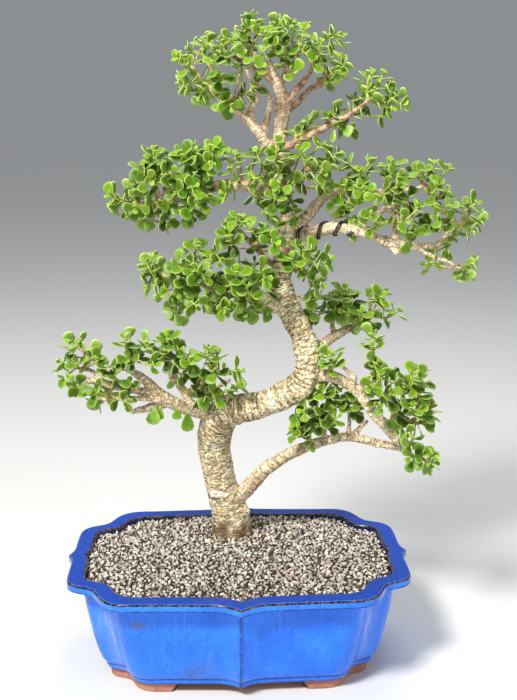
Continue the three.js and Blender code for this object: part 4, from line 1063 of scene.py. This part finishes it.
def whole_plan():
    quarter = quarter_plan()
    inner = quarter[1:-1]
    return np.vstack([
        quarter[:1], inner, quarter[-1:], inner[::-1] * (-1, 1), quarter[:1] * (-1, 1),
        inner * (-1, -1), quarter[-1:] * (1, -1), inner[::-1] * (1, -1)])


def softened(plan):
    """The outline with the steps between its lobes drawn out into soft waves."""
    notch = np.array([LONG_LOBE_X, END_LOBE_Y])
    for _ in range(NOTCH_WEAR["rounds"]):
        share = np.exp(-(np.linalg.norm(np.abs(plan) - notch, axis=1) / NOTCH_WEAR["reach"]) ** 4)
        between = (np.roll(plan, 1, axis=0) + np.roll(plan, -1, axis=0)) / 2
        plan = plan + (between - plan) * 0.5 * share[:, None]
    return plan


PLAN = softened(whole_plan())


def plan_ring(inset, z):
    ring = PLAN * (1 - inset / END_X, 1 - inset / FRONT_Y)
    return np.column_stack([ring, np.full(len(ring), float(z))])


def eased(profile, radius, longest):
    """A profile with its corners rounded and its long steps divided."""
    points = [np.array(p, float) for p in profile]
    out = [points[0]]
    for before, at, after in zip(points, points[1:], points[2:]):
        back, on = before - at, after - at
        cut = min(radius, np.linalg.norm(back) * 0.4, np.linalg.norm(on) * 0.4)
        start, end = at + unit(back) * cut, at + unit(on) * cut
        for t in (0.0, 0.33, 0.67, 1.0):
            out.append((1 - t) ** 2 * start + 2 * t * (1 - t) * at + t**2 * end)
    out.append(points[-1])
    full = [out[0]]
    for a, b in zip(out, out[1:]):
        steps = max(1, math.ceil(np.linalg.norm(b - a) / longest))
        full += [a + (b - a) * k / steps for k in range(1, steps + 1)]
    return np.array(full)


def bell(values, middle, width):
    return np.exp(-(((values - middle) / width) ** 2))


def end_taper(z):
    return END_TAPER["share"] * np.interp(z, (END_TAPER["full_z"], END_TAPER["from_z"]), (1, 0))


# Brownish smudges of the glaze on the front wall: across and down in the view, size in mm, and strength
SMUDGES = [(139, 622, 4.5, 0.85), (205, 670, 11, 0.32), (185, 674, 9, 0.2), (112, 650, 8, 0.25)]


def pot_piece(glaze, clay):
    """The glazed body: outside, rim and inside in one skin, bare clay underneath, and two drain holes."""
    profile = eased([(UNDERSIDE_INSET, FOOT_HEIGHT), *OUTER_WALL, *INNER_WALL], PROFILE_CORNER, PROFILE_STEP)
    rings = [plan_ring(inset, z) for inset, z in profile]
    count = len(PLAN)
    points = np.vstack(rings)
    outside = np.repeat(np.arange(len(profile)) < np.argmax(profile[:, 1] > RIM_TOP - 0.2) + 3, count)
    points[:, 0] *= 1 - outside * end_taper(points[:, 2])
    wave = (RIPPLE["across"], RIPPLE["across"], RIPPLE["up"])
    ripple = np.array([noise.noise(Vector(point)) for point in points / wave])
    points[:, :2] *= (1 + RIPPLE["share"] * ripple)[:, None]
    faces = band_faces(len(rings), count)
    faces.append(list(range(count))[::-1])
    last = (len(rings) - 1) * count
    faces.append([last + i for i in range(count)])
    mesh = mesh_from("glazed_pot", points, faces)
    inset, z = np.repeat(profile[:, 0], count), points[:, 2]
    on_rim = (inset > 1.8) & (z > RIM_TOP - 2.5)
    give(mesh, "rim_top", on_rim | ~outside)
    # The inside wall below the rim's top, which the glaze paints as shade
    give(mesh, "inner_wall_shade", ~outside & (z < RIM_TOP - 1.2))
    lip_edge = outside & (inset < 1.4) & (z > 110.7)
    inner_edge = (inset > RIM_WIDTH - 1.2) & (z > 111) & ~outside
    foot_edge = outside * bell(z, FOOT_HEIGHT + 0.4, 0.8)
    give(mesh, "worn_edge", np.clip(lip_edge + 1.0 * inner_edge + 0.6 * foot_edge, 0, 1))
    on_wall = z < 101
    on_cusp = bell(points[:, 0], 0, CUSP_SEAM["width"]) * (np.abs(points[:, 1]) > 60) * on_wall
    # Dark lines of thin glaze round the wall and down the cusps, the one under the lip partly painted shade
    lines = sum(strength * bell(z, height, width) for height, width, strength in THIN_GLAZE_AND_SHADE_LINES)
    give(mesh, "thin_glaze_and_shade", np.clip(outside * (lines + CUSP_SEAM["strength"] * on_cusp), 0, 1))
    notch = np.array([LONG_LOBE_X, END_LOBE_Y]) + CORNER_FLOW["out"]
    from_notch = np.linalg.norm(np.abs(PLAN) - notch, axis=1)
    nearness = np.tile(bell(from_notch, 0, CORNER_FLOW["reach"]), len(profile))
    give(mesh, "corner_flow", outside * on_wall * nearness)
    smudges = np.zeros(len(points))
    for across, down, size, weight in SMUDGES:
        spot, _ = place(across, down, -100)
        near = np.hypot((points[:, 0] - spot[0]) / 1.6, points[:, 2] - spot[2])
        smudges += weight * outside * (points[:, 1] < -60) * bell(near, 0, size)
    give(mesh, "smudge", np.clip(smudges, 0, 1))
    mesh.polygons.foreach_set("material_index", [
        int(face.center.z < (FOOT_HEIGHT + 0.4) * MM) for face in mesh.polygons])
    made = add_piece("glazed_pot", mesh, [glaze, clay], "blue_glaze", "pot")
    drill_drains(made, clay)


def drill_drains(pot, clay):
    for side in (-1, 1):
        line = np.array([[side * DRAIN["x"], 0, 0], [side * DRAIN["x"], 0, 60]])
        points, faces = tube(line, [DRAIN["radius"]] * 2, 40)
        mesh = mesh_from("drain_cutter", points, faces)
        mesh.materials.append(clay)
        cutter = put_in_scene("drain_cutter", mesh)
        cut = pot.modifiers.new("drain", "BOOLEAN")
        cut.object = cutter
        cut.operation = "DIFFERENCE"
        cut.solver = "EXACT"
        cut.material_mode = "TRANSFER"
        cut_mesh = finished_mesh(pot)
        pot.modifiers.remove(cut)
        pot.data = cut_mesh
        bpy.data.objects.remove(cutter)


def foot_part(sign_x, sign_y):
    """One corner foot: a curved bar under the base whose ends slope in."""
    tapered = (1 - END_TAPER["share"], 1, 1)
    outer = plan_ring(FOOT["outer"], 0) * tapered
    inner = plan_ring(FOOT["inner"], 0) * tapered
    chosen = [i for i in range(len(outer))
              if sign_x * outer[i, 0] > FOOT["from_x"] and sign_y * outer[i, 1] > FOOT["from_y"]]
    jump = next((k for k in range(1, len(chosen)) if chosen[k] != chosen[k - 1] + 1), 0)
    chosen = chosen[jump:] + chosen[:jump]
    top, edge, draft = FOOT_HEIGHT + FOOT["sunk"], FOOT["edge"], FOOT["draft"]
    sections = []
    for position, i in enumerate(chosen):
        a, b = outer[i], inner[i]
        inward = unit(b - a)
        front, back = a + inward * draft, b - inward * draft
        section = [front + inward * edge, front + (0, 0, edge), a + (0, 0, top), b + (0, 0, top),
                   back + (0, 0, edge), back - inward * edge]
        ends = {0: chosen[min(3, len(chosen) - 1)], len(chosen) - 1: chosen[-min(4, len(chosen))]}
        if position in ends:
            slope = unit(outer[ends[position]] - a) * FOOT["slope"]
            section = [p + slope * (1 - p[2] / top) for p in section]
        sections.append(section)
    count = len(sections[0])
    points = np.array(sections).reshape(-1, 3)
    faces = band_faces(len(sections), count, flipped=True)
    faces.append(list(range(count)))
    faces.append([(len(sections) - 1) * count + i for i in range(count)][::-1])
    return points, faces


def feet_piece(clay):
    points, faces = join_parts([foot_part(x, y) for x in (-1, 1) for y in (-1, 1)])
    mesh = mesh_from("pot_feet", points, faces, smooth=False)
    edit = bmesh.new()
    edit.from_mesh(mesh)
    bmesh.ops.recalc_face_normals(edit, faces=edit.faces)
    edit.to_mesh(mesh)
    edit.free()
    add_piece("pot_feet", mesh, [clay], "blue_glaze", "pot")


# Grit


def stone_shapes(kinds=12, corners=9):
    """Small angular stones about 1 across, each the hull of a few scattered points."""
    shapes = []
    for _ in range(kinds):
        edit = bmesh.new()
        squash = RNG.uniform(0.55, 0.85, 3) * (1, 1, 1.5)
        for direction in RNG.normal(size=(corners, 3)):
            edit.verts.new(unit(direction) * squash * RNG.uniform(0.8, 1.1))
        bmesh.ops.convex_hull(edit, input=edit.verts)
        loose = {v for v in edit.verts if not v.link_faces}
        bmesh.ops.delete(edit, geom=list(loose), context="VERTS")
        edit.verts.index_update()
        points = np.array([v.co for v in edit.verts])
        faces = np.array([[v.index for v in face.verts] for face in edit.faces])
        edit.free()
        shapes.append((points, faces))
    return shapes


def random_turns(count):
    """Evenly spread random rotation matrices."""
    q = RNG.normal(size=(count, 4))
    w, x, y, z = (q / np.linalg.norm(q, axis=1, keepdims=True)).T
    return np.array([
        [1 - 2 * (y * y + z * z), 2 * (x * y - z * w), 2 * (x * z + y * w)],
        [2 * (x * y + z * w), 1 - 2 * (x * x + z * z), 2 * (y * z - x * w)],
        [2 * (x * z - y * w), 2 * (y * z + x * w), 1 - 2 * (x * x + y * y)]]).transpose(2, 0, 1)


def edge_distance(places):
    """How far inside the grit's edge each place is; less than 0 outside."""
    ring = plan_ring(RIM_WIDTH + GRIT_GAP, 0)[:, :2]
    after = np.roll(ring, -1, axis=0)
    step = after - ring
    share = np.clip(((places[:, None] - ring) * step).sum(2) / (step**2).sum(1), 0, 1)
    gap = np.linalg.norm(places[:, None] - (ring + step * share[..., None]), axis=2).min(1)
    x, y = places[:, None, 0], places[:, None, 1]
    crosses = (ring[:, 1] > y) != (after[:, 1] > y)
    rise = np.where(step[:, 1] == 0, 1e-9, step[:, 1])
    right = x < ring[:, 0] + (y - ring[:, 1]) * step[:, 0] / rise
    return np.where((crosses & right).sum(1) % 2 == 1, gap, -gap)


def grit_height(distance):
    share = np.clip(distance / (GRIT_CROWN["inset"] - RIM_WIDTH), 0, 1)
    return GRIT_EDGE + (GRIT_CROWN["height"] - GRIT_EDGE) * share * (2 - share)


def back_rise(places):
    """How much higher the grit lies towards the middle of the pot's back."""
    back = np.clip((places[:, 1] - BACK_RISE["from_y"]) / (FRONT_Y - RIM_WIDTH - BACK_RISE["from_y"]), 0, 1)
    return BACK_RISE["height"] * back * np.clip(1 - (places[:, 0] / BACK_RISE["reach_x"]) ** 2, 0, 1)


def grain_places():
    pitch = GRAIN["pitch"]
    rows = np.arange(-FRONT_Y, FRONT_Y, pitch * math.sqrt(0.75))
    run = np.arange(-END_X, END_X, pitch)
    places = np.vstack([np.column_stack([run + (row % 2) * pitch / 2, np.full(len(run), y)])
                        for row, y in enumerate(rows)])
    places += RNG.uniform(-GRAIN["scatter"], GRAIN["scatter"], places.shape) * pitch
    distance = edge_distance(places)
    foot, scale = place(*TRUNK[0][:3])
    clear = np.linalg.norm(places - foot[:2], axis=1) > TRUNK[0][3] / 2 * scale * 0.86
    keep = (distance > 0.8) & clear
    return places[keep], distance[keep]


def grit_pieces(stone, dark):
    # The bed under the grains is a dark sheet of painted shade, seen in the gaps between them
    below = GRIT_BED["below"]
    base = [(RIM_WIDTH + 2.2, GRIT_EDGE - GRIT_BED["base_below"]), (RIM_WIDTH + 2.4, GRIT_EDGE - below)]
    rings = [plan_ring(inset, z) for inset, z in base]
    for inset in GRIT_BED["insets"]:
        rings.append(plan_ring(inset, grit_height(np.array([inset - RIM_WIDTH]))[0] - below))
    count = len(PLAN)
    faces = band_faces(len(rings), count)
    faces.append([(len(rings) - 1) * count + i for i in range(count)])
    faces.append(list(range(count))[::-1])
    add_piece("shaded_grit_bed", mesh_from("shaded_grit_bed", np.vstack(rings), faces), [dark], "grit", "top_dressing")

    places, distance = grain_places()
    number = len(places)
    lie = grit_height(distance) - GRAIN["sunk"] + back_rise(places)
    middle = np.column_stack([places, lie + RNG.uniform(-GRAIN["low"], GRAIN["high"], number)])
    size = RNG.uniform(GRAIN["smallest"], GRAIN["largest"], number)
    turns = random_turns(number)
    foot, _ = place(*TRUNK[0][:3])
    near = np.linalg.norm(places - foot[:2], axis=1) < RUST_GRAINS["near"]
    kinds = np.clip(RNG.beta(1.7, 1.7, number) * 0.9, 0, 1)
    rust = RNG.random(number) < np.where(near, RUST_GRAINS["share_near"], RUST_GRAINS["share"])
    kinds[rust] = RUST_GRAINS["kind"]
    shapes = stone_shapes()
    which = RNG.integers(len(shapes), size=number)
    points, faces, values, first = [], [], [], 0
    for index, (shape, shape_faces) in enumerate(shapes):
        mine = which == index
        grown = np.einsum("nij,vj->nvi", turns[mine], shape) * size[mine, None, None] + middle[mine, None]
        starts = first + np.arange(mine.sum()) * len(shape)
        points.append(grown.reshape(-1, 3))
        faces += (starts[:, None, None] + shape_faces).reshape(-1, 3).tolist()
        values.append(np.repeat(kinds[mine], len(shape)))
        first += grown.shape[0] * grown.shape[1]
    mesh = mesh_from("grit_grains", np.vstack(points), faces, smooth=False)
    give(mesh, "kind", np.concatenate(values))
    add_piece("grit_grains", mesh, [stone], "grit", "top_dressing")


# Foliage


def leaf_pattern(sides=12):
    """One leaf flat on its back: for each point its share along, across, up and of the margin and underside,
    and the faces."""
    turn = np.arange(sides) * 2 * math.pi / sides
    along = 0.5 - 0.5 * np.cos(turn)
    across = 0.5 * np.sin(turn) * (0.18 + 1.3 * along)
    rows = [(0.0, 0.5, 0.0, 0.0), (0.5, 0.95, 0.0, 0.0), (0.88, 0.7, 0.15, 0.0), (1.0, 0.0, 1.0, 0.0),
            (0.72, -0.72, 0.3, 1.0), (0.0, -0.9, 0.0, 1.0)]
    middle = 0.56
    points = []
    for share, up, margin, under in rows:
        if share == 0:
            points.append([(middle, 0.0, up, margin, under)])
        else:
            points.append([(middle + (a - middle) * share, c * share, up, margin, under)
                           for a, c in zip(along, across)])
    flat = [p for row in points for p in row]
    faces = []
    starts = [0] + list(np.cumsum([len(row) for row in points]))[:-1]
    for i in range(sides):
        j = (i + 1) % sides
        faces.append([0, starts[1] + j, starts[1] + i])
        for row in range(1, 4):
            faces.append([starts[row] + i, starts[row] + j, starts[row + 1] + j, starts[row + 1] + i])
        faces.append([starts[4] + i, starts[4] + j, starts[5]])
    return np.array(flat), faces


LEAF_POINTS, LEAF_FACES = leaf_pattern()


def leaf_meshes(leaves):
    """All of a spray's leaves as points, faces and the values of their points. Each leaf is a dict."""
    column = {key: np.array([leaf[key] for leaf in leaves], float) for key in leaves[0]}
    along, across, up, margin, under = LEAF_POINTS.T
    length = column["length"][:, None]
    width = length * column["width"][:, None]
    forward = column["forward"]
    upper = column["upper"]
    side = np.cross(forward, upper)
    twist = column["twist"][:, None] * (along - 0.3)
    y = along * length
    x = across * width
    z = up * LEAF["thickness"] / 2 * (0.65 + 0.35 * length / LEAF["length"])
    z = z + column["cup"][:, None] * (2 * across) ** 2 * length - column["bend"][:, None] * along**2 * length
    x, z = x * np.cos(twist) - z * np.sin(twist), x * np.sin(twist) + z * np.cos(twist)
    points = (column["at"][:, None] + y[..., None] * forward[:, None] + x[..., None] * side[:, None]
              + z[..., None] * upper[:, None])
    number, size = len(leaves), len(LEAF_POINTS)
    faces = [[i * size + k for k in face] for i in range(number) for face in LEAF_FACES]
    values = {
        "margin": np.tile(margin, number), "underside": np.tile(under, number),
        **{key: np.repeat(column[key], size) for key in ("tint", "youth", "inner")}}
    return points.reshape(-1, 3), faces, values


class Twigs:
    """A spray's twigs: a tree of joints, each with its place and the joint that it grew from."""

    def __init__(self, line, measured):
        self.at = [p[:3] for p in line]
        # How many of the joints keep the thickness that was read off the view
        self.measured = len(line) if measured else 0
        self.parent = list(range(-1, len(line) - 1))
        self.run = list(run_along(line[:, :3]))
        self.least = list(line[:, 3]) if line.shape[1] > 3 else [0.0] * len(line)
        self.load = [0] * len(line)
        self.chains = [list(range(len(line)))]

    def also_root_at(self, place):
        """Another joint on the old wood that twigs may start from."""
        self.at.append(place)
        self.parent.append(-1)
        self.run.append(0.0)
        self.least.append(0.0)
        self.load.append(0)

    def grow_to(self, end):
        """Grows one twig to an end, from the joint that it reaches with the least new and old wood."""
        places = np.array(self.at)
        cost = np.linalg.norm(places - end, axis=1) + TWIG["wood_cost"] * np.array(self.run)
        start = int(np.argmin(cost))
        span = end - self.at[start]
        length = np.linalg.norm(span)
        grown_from = self.parent[start]
        heading = unit(self.at[start] - self.at[grown_from]) if grown_from >= 0 else unit(span)
        bow = self.at[start] + 0.45 * span + 0.16 * length * heading - 0.1 * length * UP
        steps = max(2, math.ceil(length / TWIG["step"]))
        chain = [start]
        for t in np.arange(1, steps + 1) / steps:
            self.at.append((1 - t) ** 2 * self.at[start] + 2 * t * (1 - t) * bow + t**2 * end)
            self.parent.append(chain[-1])
            self.run.append(self.run[chain[-1]] + length / steps)
            self.least.append(0.0)
            self.load.append(0)
            chain.append(len(self.at) - 1)
        self.chains.append(chain)
        joint = chain[-1]
        while joint >= 0:
            self.load[joint] += 1
            joint = self.parent[joint]
        return chain

    def radius(self, joint):
        if joint < self.measured:
            return self.least[joint] * 0.95
        return max(self.least[joint] * 0.85, TWIG["radius"] * max(1, self.load[joint]) ** TWIG["load_power"])

    def parts(self):
        """The twigs as tubes, with the age of each point: 0 on this year's growth and 1 on old wood."""
        tubes, ages = [], []
        for chain in self.chains:
            line = np.array([self.at[j] for j in chain])
            radii = np.array([self.radius(j) for j in chain])
            radii[0] = min(radii[0], radii[1] * 1.15)
            swell_at_joints = 1 + np.where(radii < 2, 0.16, 0.03) * (-1.0) ** np.arange(len(chain))
            points, faces = tube(line, radii * swell_at_joints, TWIG["sides"], round_end=True)
            left = np.linalg.norm(points - line[-1], axis=1)
            tubes.append((points, faces))
            stem = chain[0] < chain[-1] < self.measured
            age = (left - AGE["green"]) / AGE["fade"] + AGE["thick_more"] * (radii[0] > AGE["thick"])
            ages.append(np.clip(age + stem, 0, 1))
        return tubes, np.concatenate(ages)


def pad_egg(pad):
    """The middle of a pad and how far it reaches across, back and up."""
    across, down, half_width, half_height, half_depth, depth = PADS[pad]
    middle, scale = place(across, down, depth)
    return middle, np.array([half_width * scale, half_depth, half_height * scale])


def pad_share(point, pad):
    """How far out in its pad a point is: 0 in the middle and 1 on its skin."""
    middle, reach = pad_egg(pad)
    return np.linalg.norm((point - middle) / reach)


def outward(point, pad):
    middle, reach = pad_egg(pad)
    return unit((point - middle) / reach**2)


def shoot_ends(pad, readings):
    """The ends of a spray's shoots: those that the front shows, then others straight behind them."""
    across, down, half_width, half_height, half_depth, depth = PADS[pad]
    ends = []
    for i, (u, v) in enumerate(readings):
        off = ((u - across) / half_width) ** 2 + ((v - down) / half_height) ** 2
        bulge = half_depth * math.sqrt(max(0.04, 1 - off))
        front = depth - bulge * FRONT_DEPTHS[i % len(FRONT_DEPTHS)]
        ends.append((place(u, v, front)[0], False))
        if i % BEHIND_EVERY.get(pad, 3) == 0:
            back = depth - bulge * BACK_DEPTHS[i % len(BACK_DEPTHS)]
            shift = RNG.uniform(-BEHIND_SCATTER, BEHIND_SCATTER, 2)
            ends.append((place(u + shift[0], v + shift[1], back)[0], True))
    return ends


def new_leaf(at, forward, upper, length, youth, inner):
    return {
        "at": at, "forward": forward, "upper": unit(upper - forward * upper.dot(forward)),
        "length": length * RNG.uniform(*LEAF_RANGE["length"]),
        "width": LEAF["width"] * RNG.uniform(*LEAF_RANGE["width"]),
        "cup": RNG.uniform(*LEAF_RANGE["cup"]), "bend": RNG.uniform(*LEAF_RANGE["bend"]),
        "twist": RNG.normal(0, LEAF_TWIST),
        "tint": RNG.random(), "youth": youth * RNG.uniform(0.5, 1), "inner": inner}


def grow_leaves(chain, twigs, pad):
    """Pairs of leaves down a twig from its end, each pair across the one before."""
    line = np.array([twigs.at[j] for j in chain])
    steps = np.linalg.norm(np.diff(line, axis=0), axis=1)
    length = steps.sum()
    run = run_along(line)
    tip_way = unit(unit(line[-1] - line[-3]) + 0.7 * outward(line[-1], pad) + 0.35 * UP)
    turn = RNG.uniform(0, 2 * math.pi)
    back = 0.0
    largest = LEAF["length"] * LEAF_SHARE.get(pad, 1)
    leaves = []
    for pair, (size, spread, step, fallen) in enumerate(PAIRS):
        where = max(length - back, 0)
        at = np.array([np.interp(where, run, line[:, k]) for k in range(3)])
        before = np.array([np.interp(max(where - 3, 0), run, line[:, k]) for k in range(3)])
        share = max(0.0, 1 - back / 16)
        axis = unit(tip_way * share + unit(at - before + 1e-6 * UP) * (1 - share))
        first = unit(np.cross(axis, [0.3, 0.2, 1.0]))
        second = np.cross(axis, first)
        missing = fallen + (pair > 1) * THINNED.get(pad, 0)
        # How deep inside its pad a leaf sits, which its material paints as shade
        inner = np.clip(1.3 - pad_share(at, pad), 0, 0.85)
        for side in (0, math.pi):
            if RNG.random() < missing:
                continue
            angle = turn + side + RNG.normal(0, 0.12)
            radial = first * math.cos(angle) + second * math.sin(angle)
            off = math.radians(spread) + RNG.normal(0, 0.14)
            forward = unit(axis * math.cos(off) + radial * math.sin(off))
            upper = axis * math.sin(off) - radial * math.cos(off) + 0.22 * UP
            leaves.append(new_leaf(at + radial * TWIG["radius"] * 0.5, forward, upper, largest * size,
                                   max(0.0, 1 - pair / 2.2), inner))
        turn += math.pi / 2 + RNG.normal(0, 0.1)
        back += step * RNG.uniform(0.85, 1.15)
        if back > length - 1.5 and pair > 1:
            break
    return leaves


def hanging_leaf(across, down, depth, length):
    at, _ = place(across, down, depth)
    forward = unit(np.array([RNG.normal(0, 0.2), RNG.normal(-0.1, 0.15), -1.0]))
    # A hanging leaf gets a young look of 0.3 and a little painted shade of 0.1
    return new_leaf(at, forward, np.array([RNG.normal(0, 0.4), -1.0, 0.2]), length, 0.3, 0.1)


def stem_of(name, on, ends, taken):
    """The line that a spray starts with: its own stem, or a short one from a free joint of its wood."""
    if name in STEMS:
        return limb_line(STEMS[name], 5)
    limbs = BRANCHES.get(on, [TRUNK])
    middle = np.mean([end for end, behind in ends if not behind], axis=0)
    free = [joint for limb in limbs for joint in limb[1:] if joint not in taken]
    reading = min(free, key=lambda joint: np.linalg.norm(place(*joint[:3])[0] - middle))
    taken.add(reading)
    root, scale = place(*reading[:3])
    out = unit(middle - root)
    reach = reading[3] / 2 * scale + 4
    return np.array([[*root, 1.6], [*(root + out * reach * 0.5), 1.6], [*(root + out * reach), 1.4]])


def spray_piece(name, materials, taken):
    on, pad, readings = SPRAYS[name]
    ends = shoot_ends(pad, readings)
    twigs = Twigs(stem_of(name, on, ends, taken), name in STEMS)
    root = twigs.at[0]
    if name in SECOND_ROOTS:
        twigs.also_root_at(place(*SECOND_ROOTS[name])[0])
    leaves = []
    for end, _ in sorted(ends, key=lambda item: np.linalg.norm(item[0] - root)):
        leaves += grow_leaves(twigs.grow_to(end), twigs, pad)
    leaves += [hanging_leaf(*reading) for reading in HANGING.get(name, [])]
    tubes, ages = twigs.parts()
    leaf_points, leaf_faces, values = leaf_meshes(leaves)
    twig_points, twig_faces = join_parts(tubes)
    points, faces = join_parts([(leaf_points, leaf_faces), (twig_points, twig_faces)])
    mesh = mesh_from(f"{name}_foliage", points, faces)
    none = np.zeros(len(twig_points))
    for key, value in values.items():
        give(mesh, key, np.concatenate([value, none]))
    give(mesh, "age", np.concatenate([np.zeros(len(leaf_points)), ages]))
    mesh.polygons.foreach_set("material_index", [0] * len(leaf_faces) + [1] * len(twig_faces))
    add_piece(f"{name}_foliage", mesh, materials, "jade_foliage", f"{name}_spray")


# Stage


def camera():
    data = bpy.data.cameras.new("camera")
    data.sensor_width = 36
    data.lens = VIEW["focal"] / PICTURE_HEIGHT * data.sensor_width
    data.clip_start, data.clip_end = 0.01, 100
    made = put_in_scene("camera", data)
    back = -VIEW["distance"] * math.cos(PITCH) + VIEW["drop"] * math.sin(PITCH)
    rise = RIM_TOP + VIEW["distance"] * math.sin(PITCH) + VIEW["drop"] * math.cos(PITCH)
    made.location = to_frame(turned([VIEW["shift"], back, rise]))
    made.rotation_euler = (math.pi / 2 - PITCH, 0, -TURN)
    bpy.context.scene.camera = made


# Each light: where it stands and its size in metres, its power in watts and its colour
LIGHTS = {
    "key": ((-0.9, -1.3, 1.9), 0.45, 76, (1, 0.98, 0.94)),
    "fill": ((1.5, -1.0, 0.9), 1.2, 7, (0.94, 0.97, 1)),
    "crown": ((0.3, 0.7, 2.0), 1.0, 14, (1, 1, 1)),
}
LIT_HEIGHT = 0.35
FLOOR_REACH = 30
SKY = {"horizon": (0.262, 0.274, 0.282, 1), "above": (0.4, 0.415, 0.44, 1), "up_to": 0.8}


def area_light(name, towards):
    at, size, power, colour = LIGHTS[name]
    data = bpy.data.lights.new(name, "AREA")
    data.size = size
    data.energy = power
    data.color = colour
    made = put_in_scene(name, data)
    made.location = at
    made.rotation_euler = (Vector(towards) - Vector(at)).to_track_quat("-Z", "Y").to_euler()


def sky(world):
    """Soft light that gets dimmer towards the horizon, down to the tone of the far floor."""
    tree = world.node_tree
    way = tree.nodes.new("ShaderNodeTexCoord").outputs["Generated"]
    height = add(tree, "ShaderNodeSeparateXYZ", Vector=way).outputs["Z"]
    colour = blend(tree, ease(tree, height, 0.0, SKY["up_to"]), SKY["horizon"], SKY["above"])
    tree.links.new(colour, tree.nodes["Background"].inputs["Color"])


def studio():
    world = bpy.data.worlds.new("studio")
    bpy.context.scene.world = world
    world.use_nodes = True
    sky(world)
    for name in LIGHTS:
        area_light(name, (POT_MIDDLE[0], POT_MIDDLE[1], LIT_HEIGHT))
    mesh = bpy.data.meshes.new("floor")
    corners = [(x * FLOOR_REACH, y * FLOOR_REACH, 0) for x, y in ((-1, -1), (1, -1), (1, 1), (-1, 1))]
    mesh.from_pydata(corners, [], [(0, 1, 2, 3)])
    mesh.materials.append(floor_material())
    floor = put_in_scene("floor", mesh)
    bpy.context.scene.view_settings.view_transform = "Standard"


def repaint(node, material):
    """Gives a CAD node that stays in view its finished material."""
    for slot in frame["nodes"][node].material_slots:
        slot.material = material


def build():
    camera()
    studio()
    glaze, clay, bark = glaze_material(), clay_material(), bark_material()
    pot_piece(glaze, clay)
    feet_piece(clay)
    trunk_piece(bark)
    for name, limbs in BRANCHES.items():
        branch_piece(name, limbs, bark)
    wire = wire_material()
    wire_piece(wire)
    foliage = [leaf_material(), twig_material()]
    taken = set()
    for name in SPRAYS:
        spray_piece(name, foliage, taken)
    grit_pieces(grain_material(), earth_material("grit_shadow", (58, 50, 44), (34, 28, 25)))
    repaint("soil", earth_material("potting_soil", (86, 66, 48), (54, 40, 30)))
    for side in ("left", "right"):
        repaint(f"drain_mesh_{side}", wire)


build()
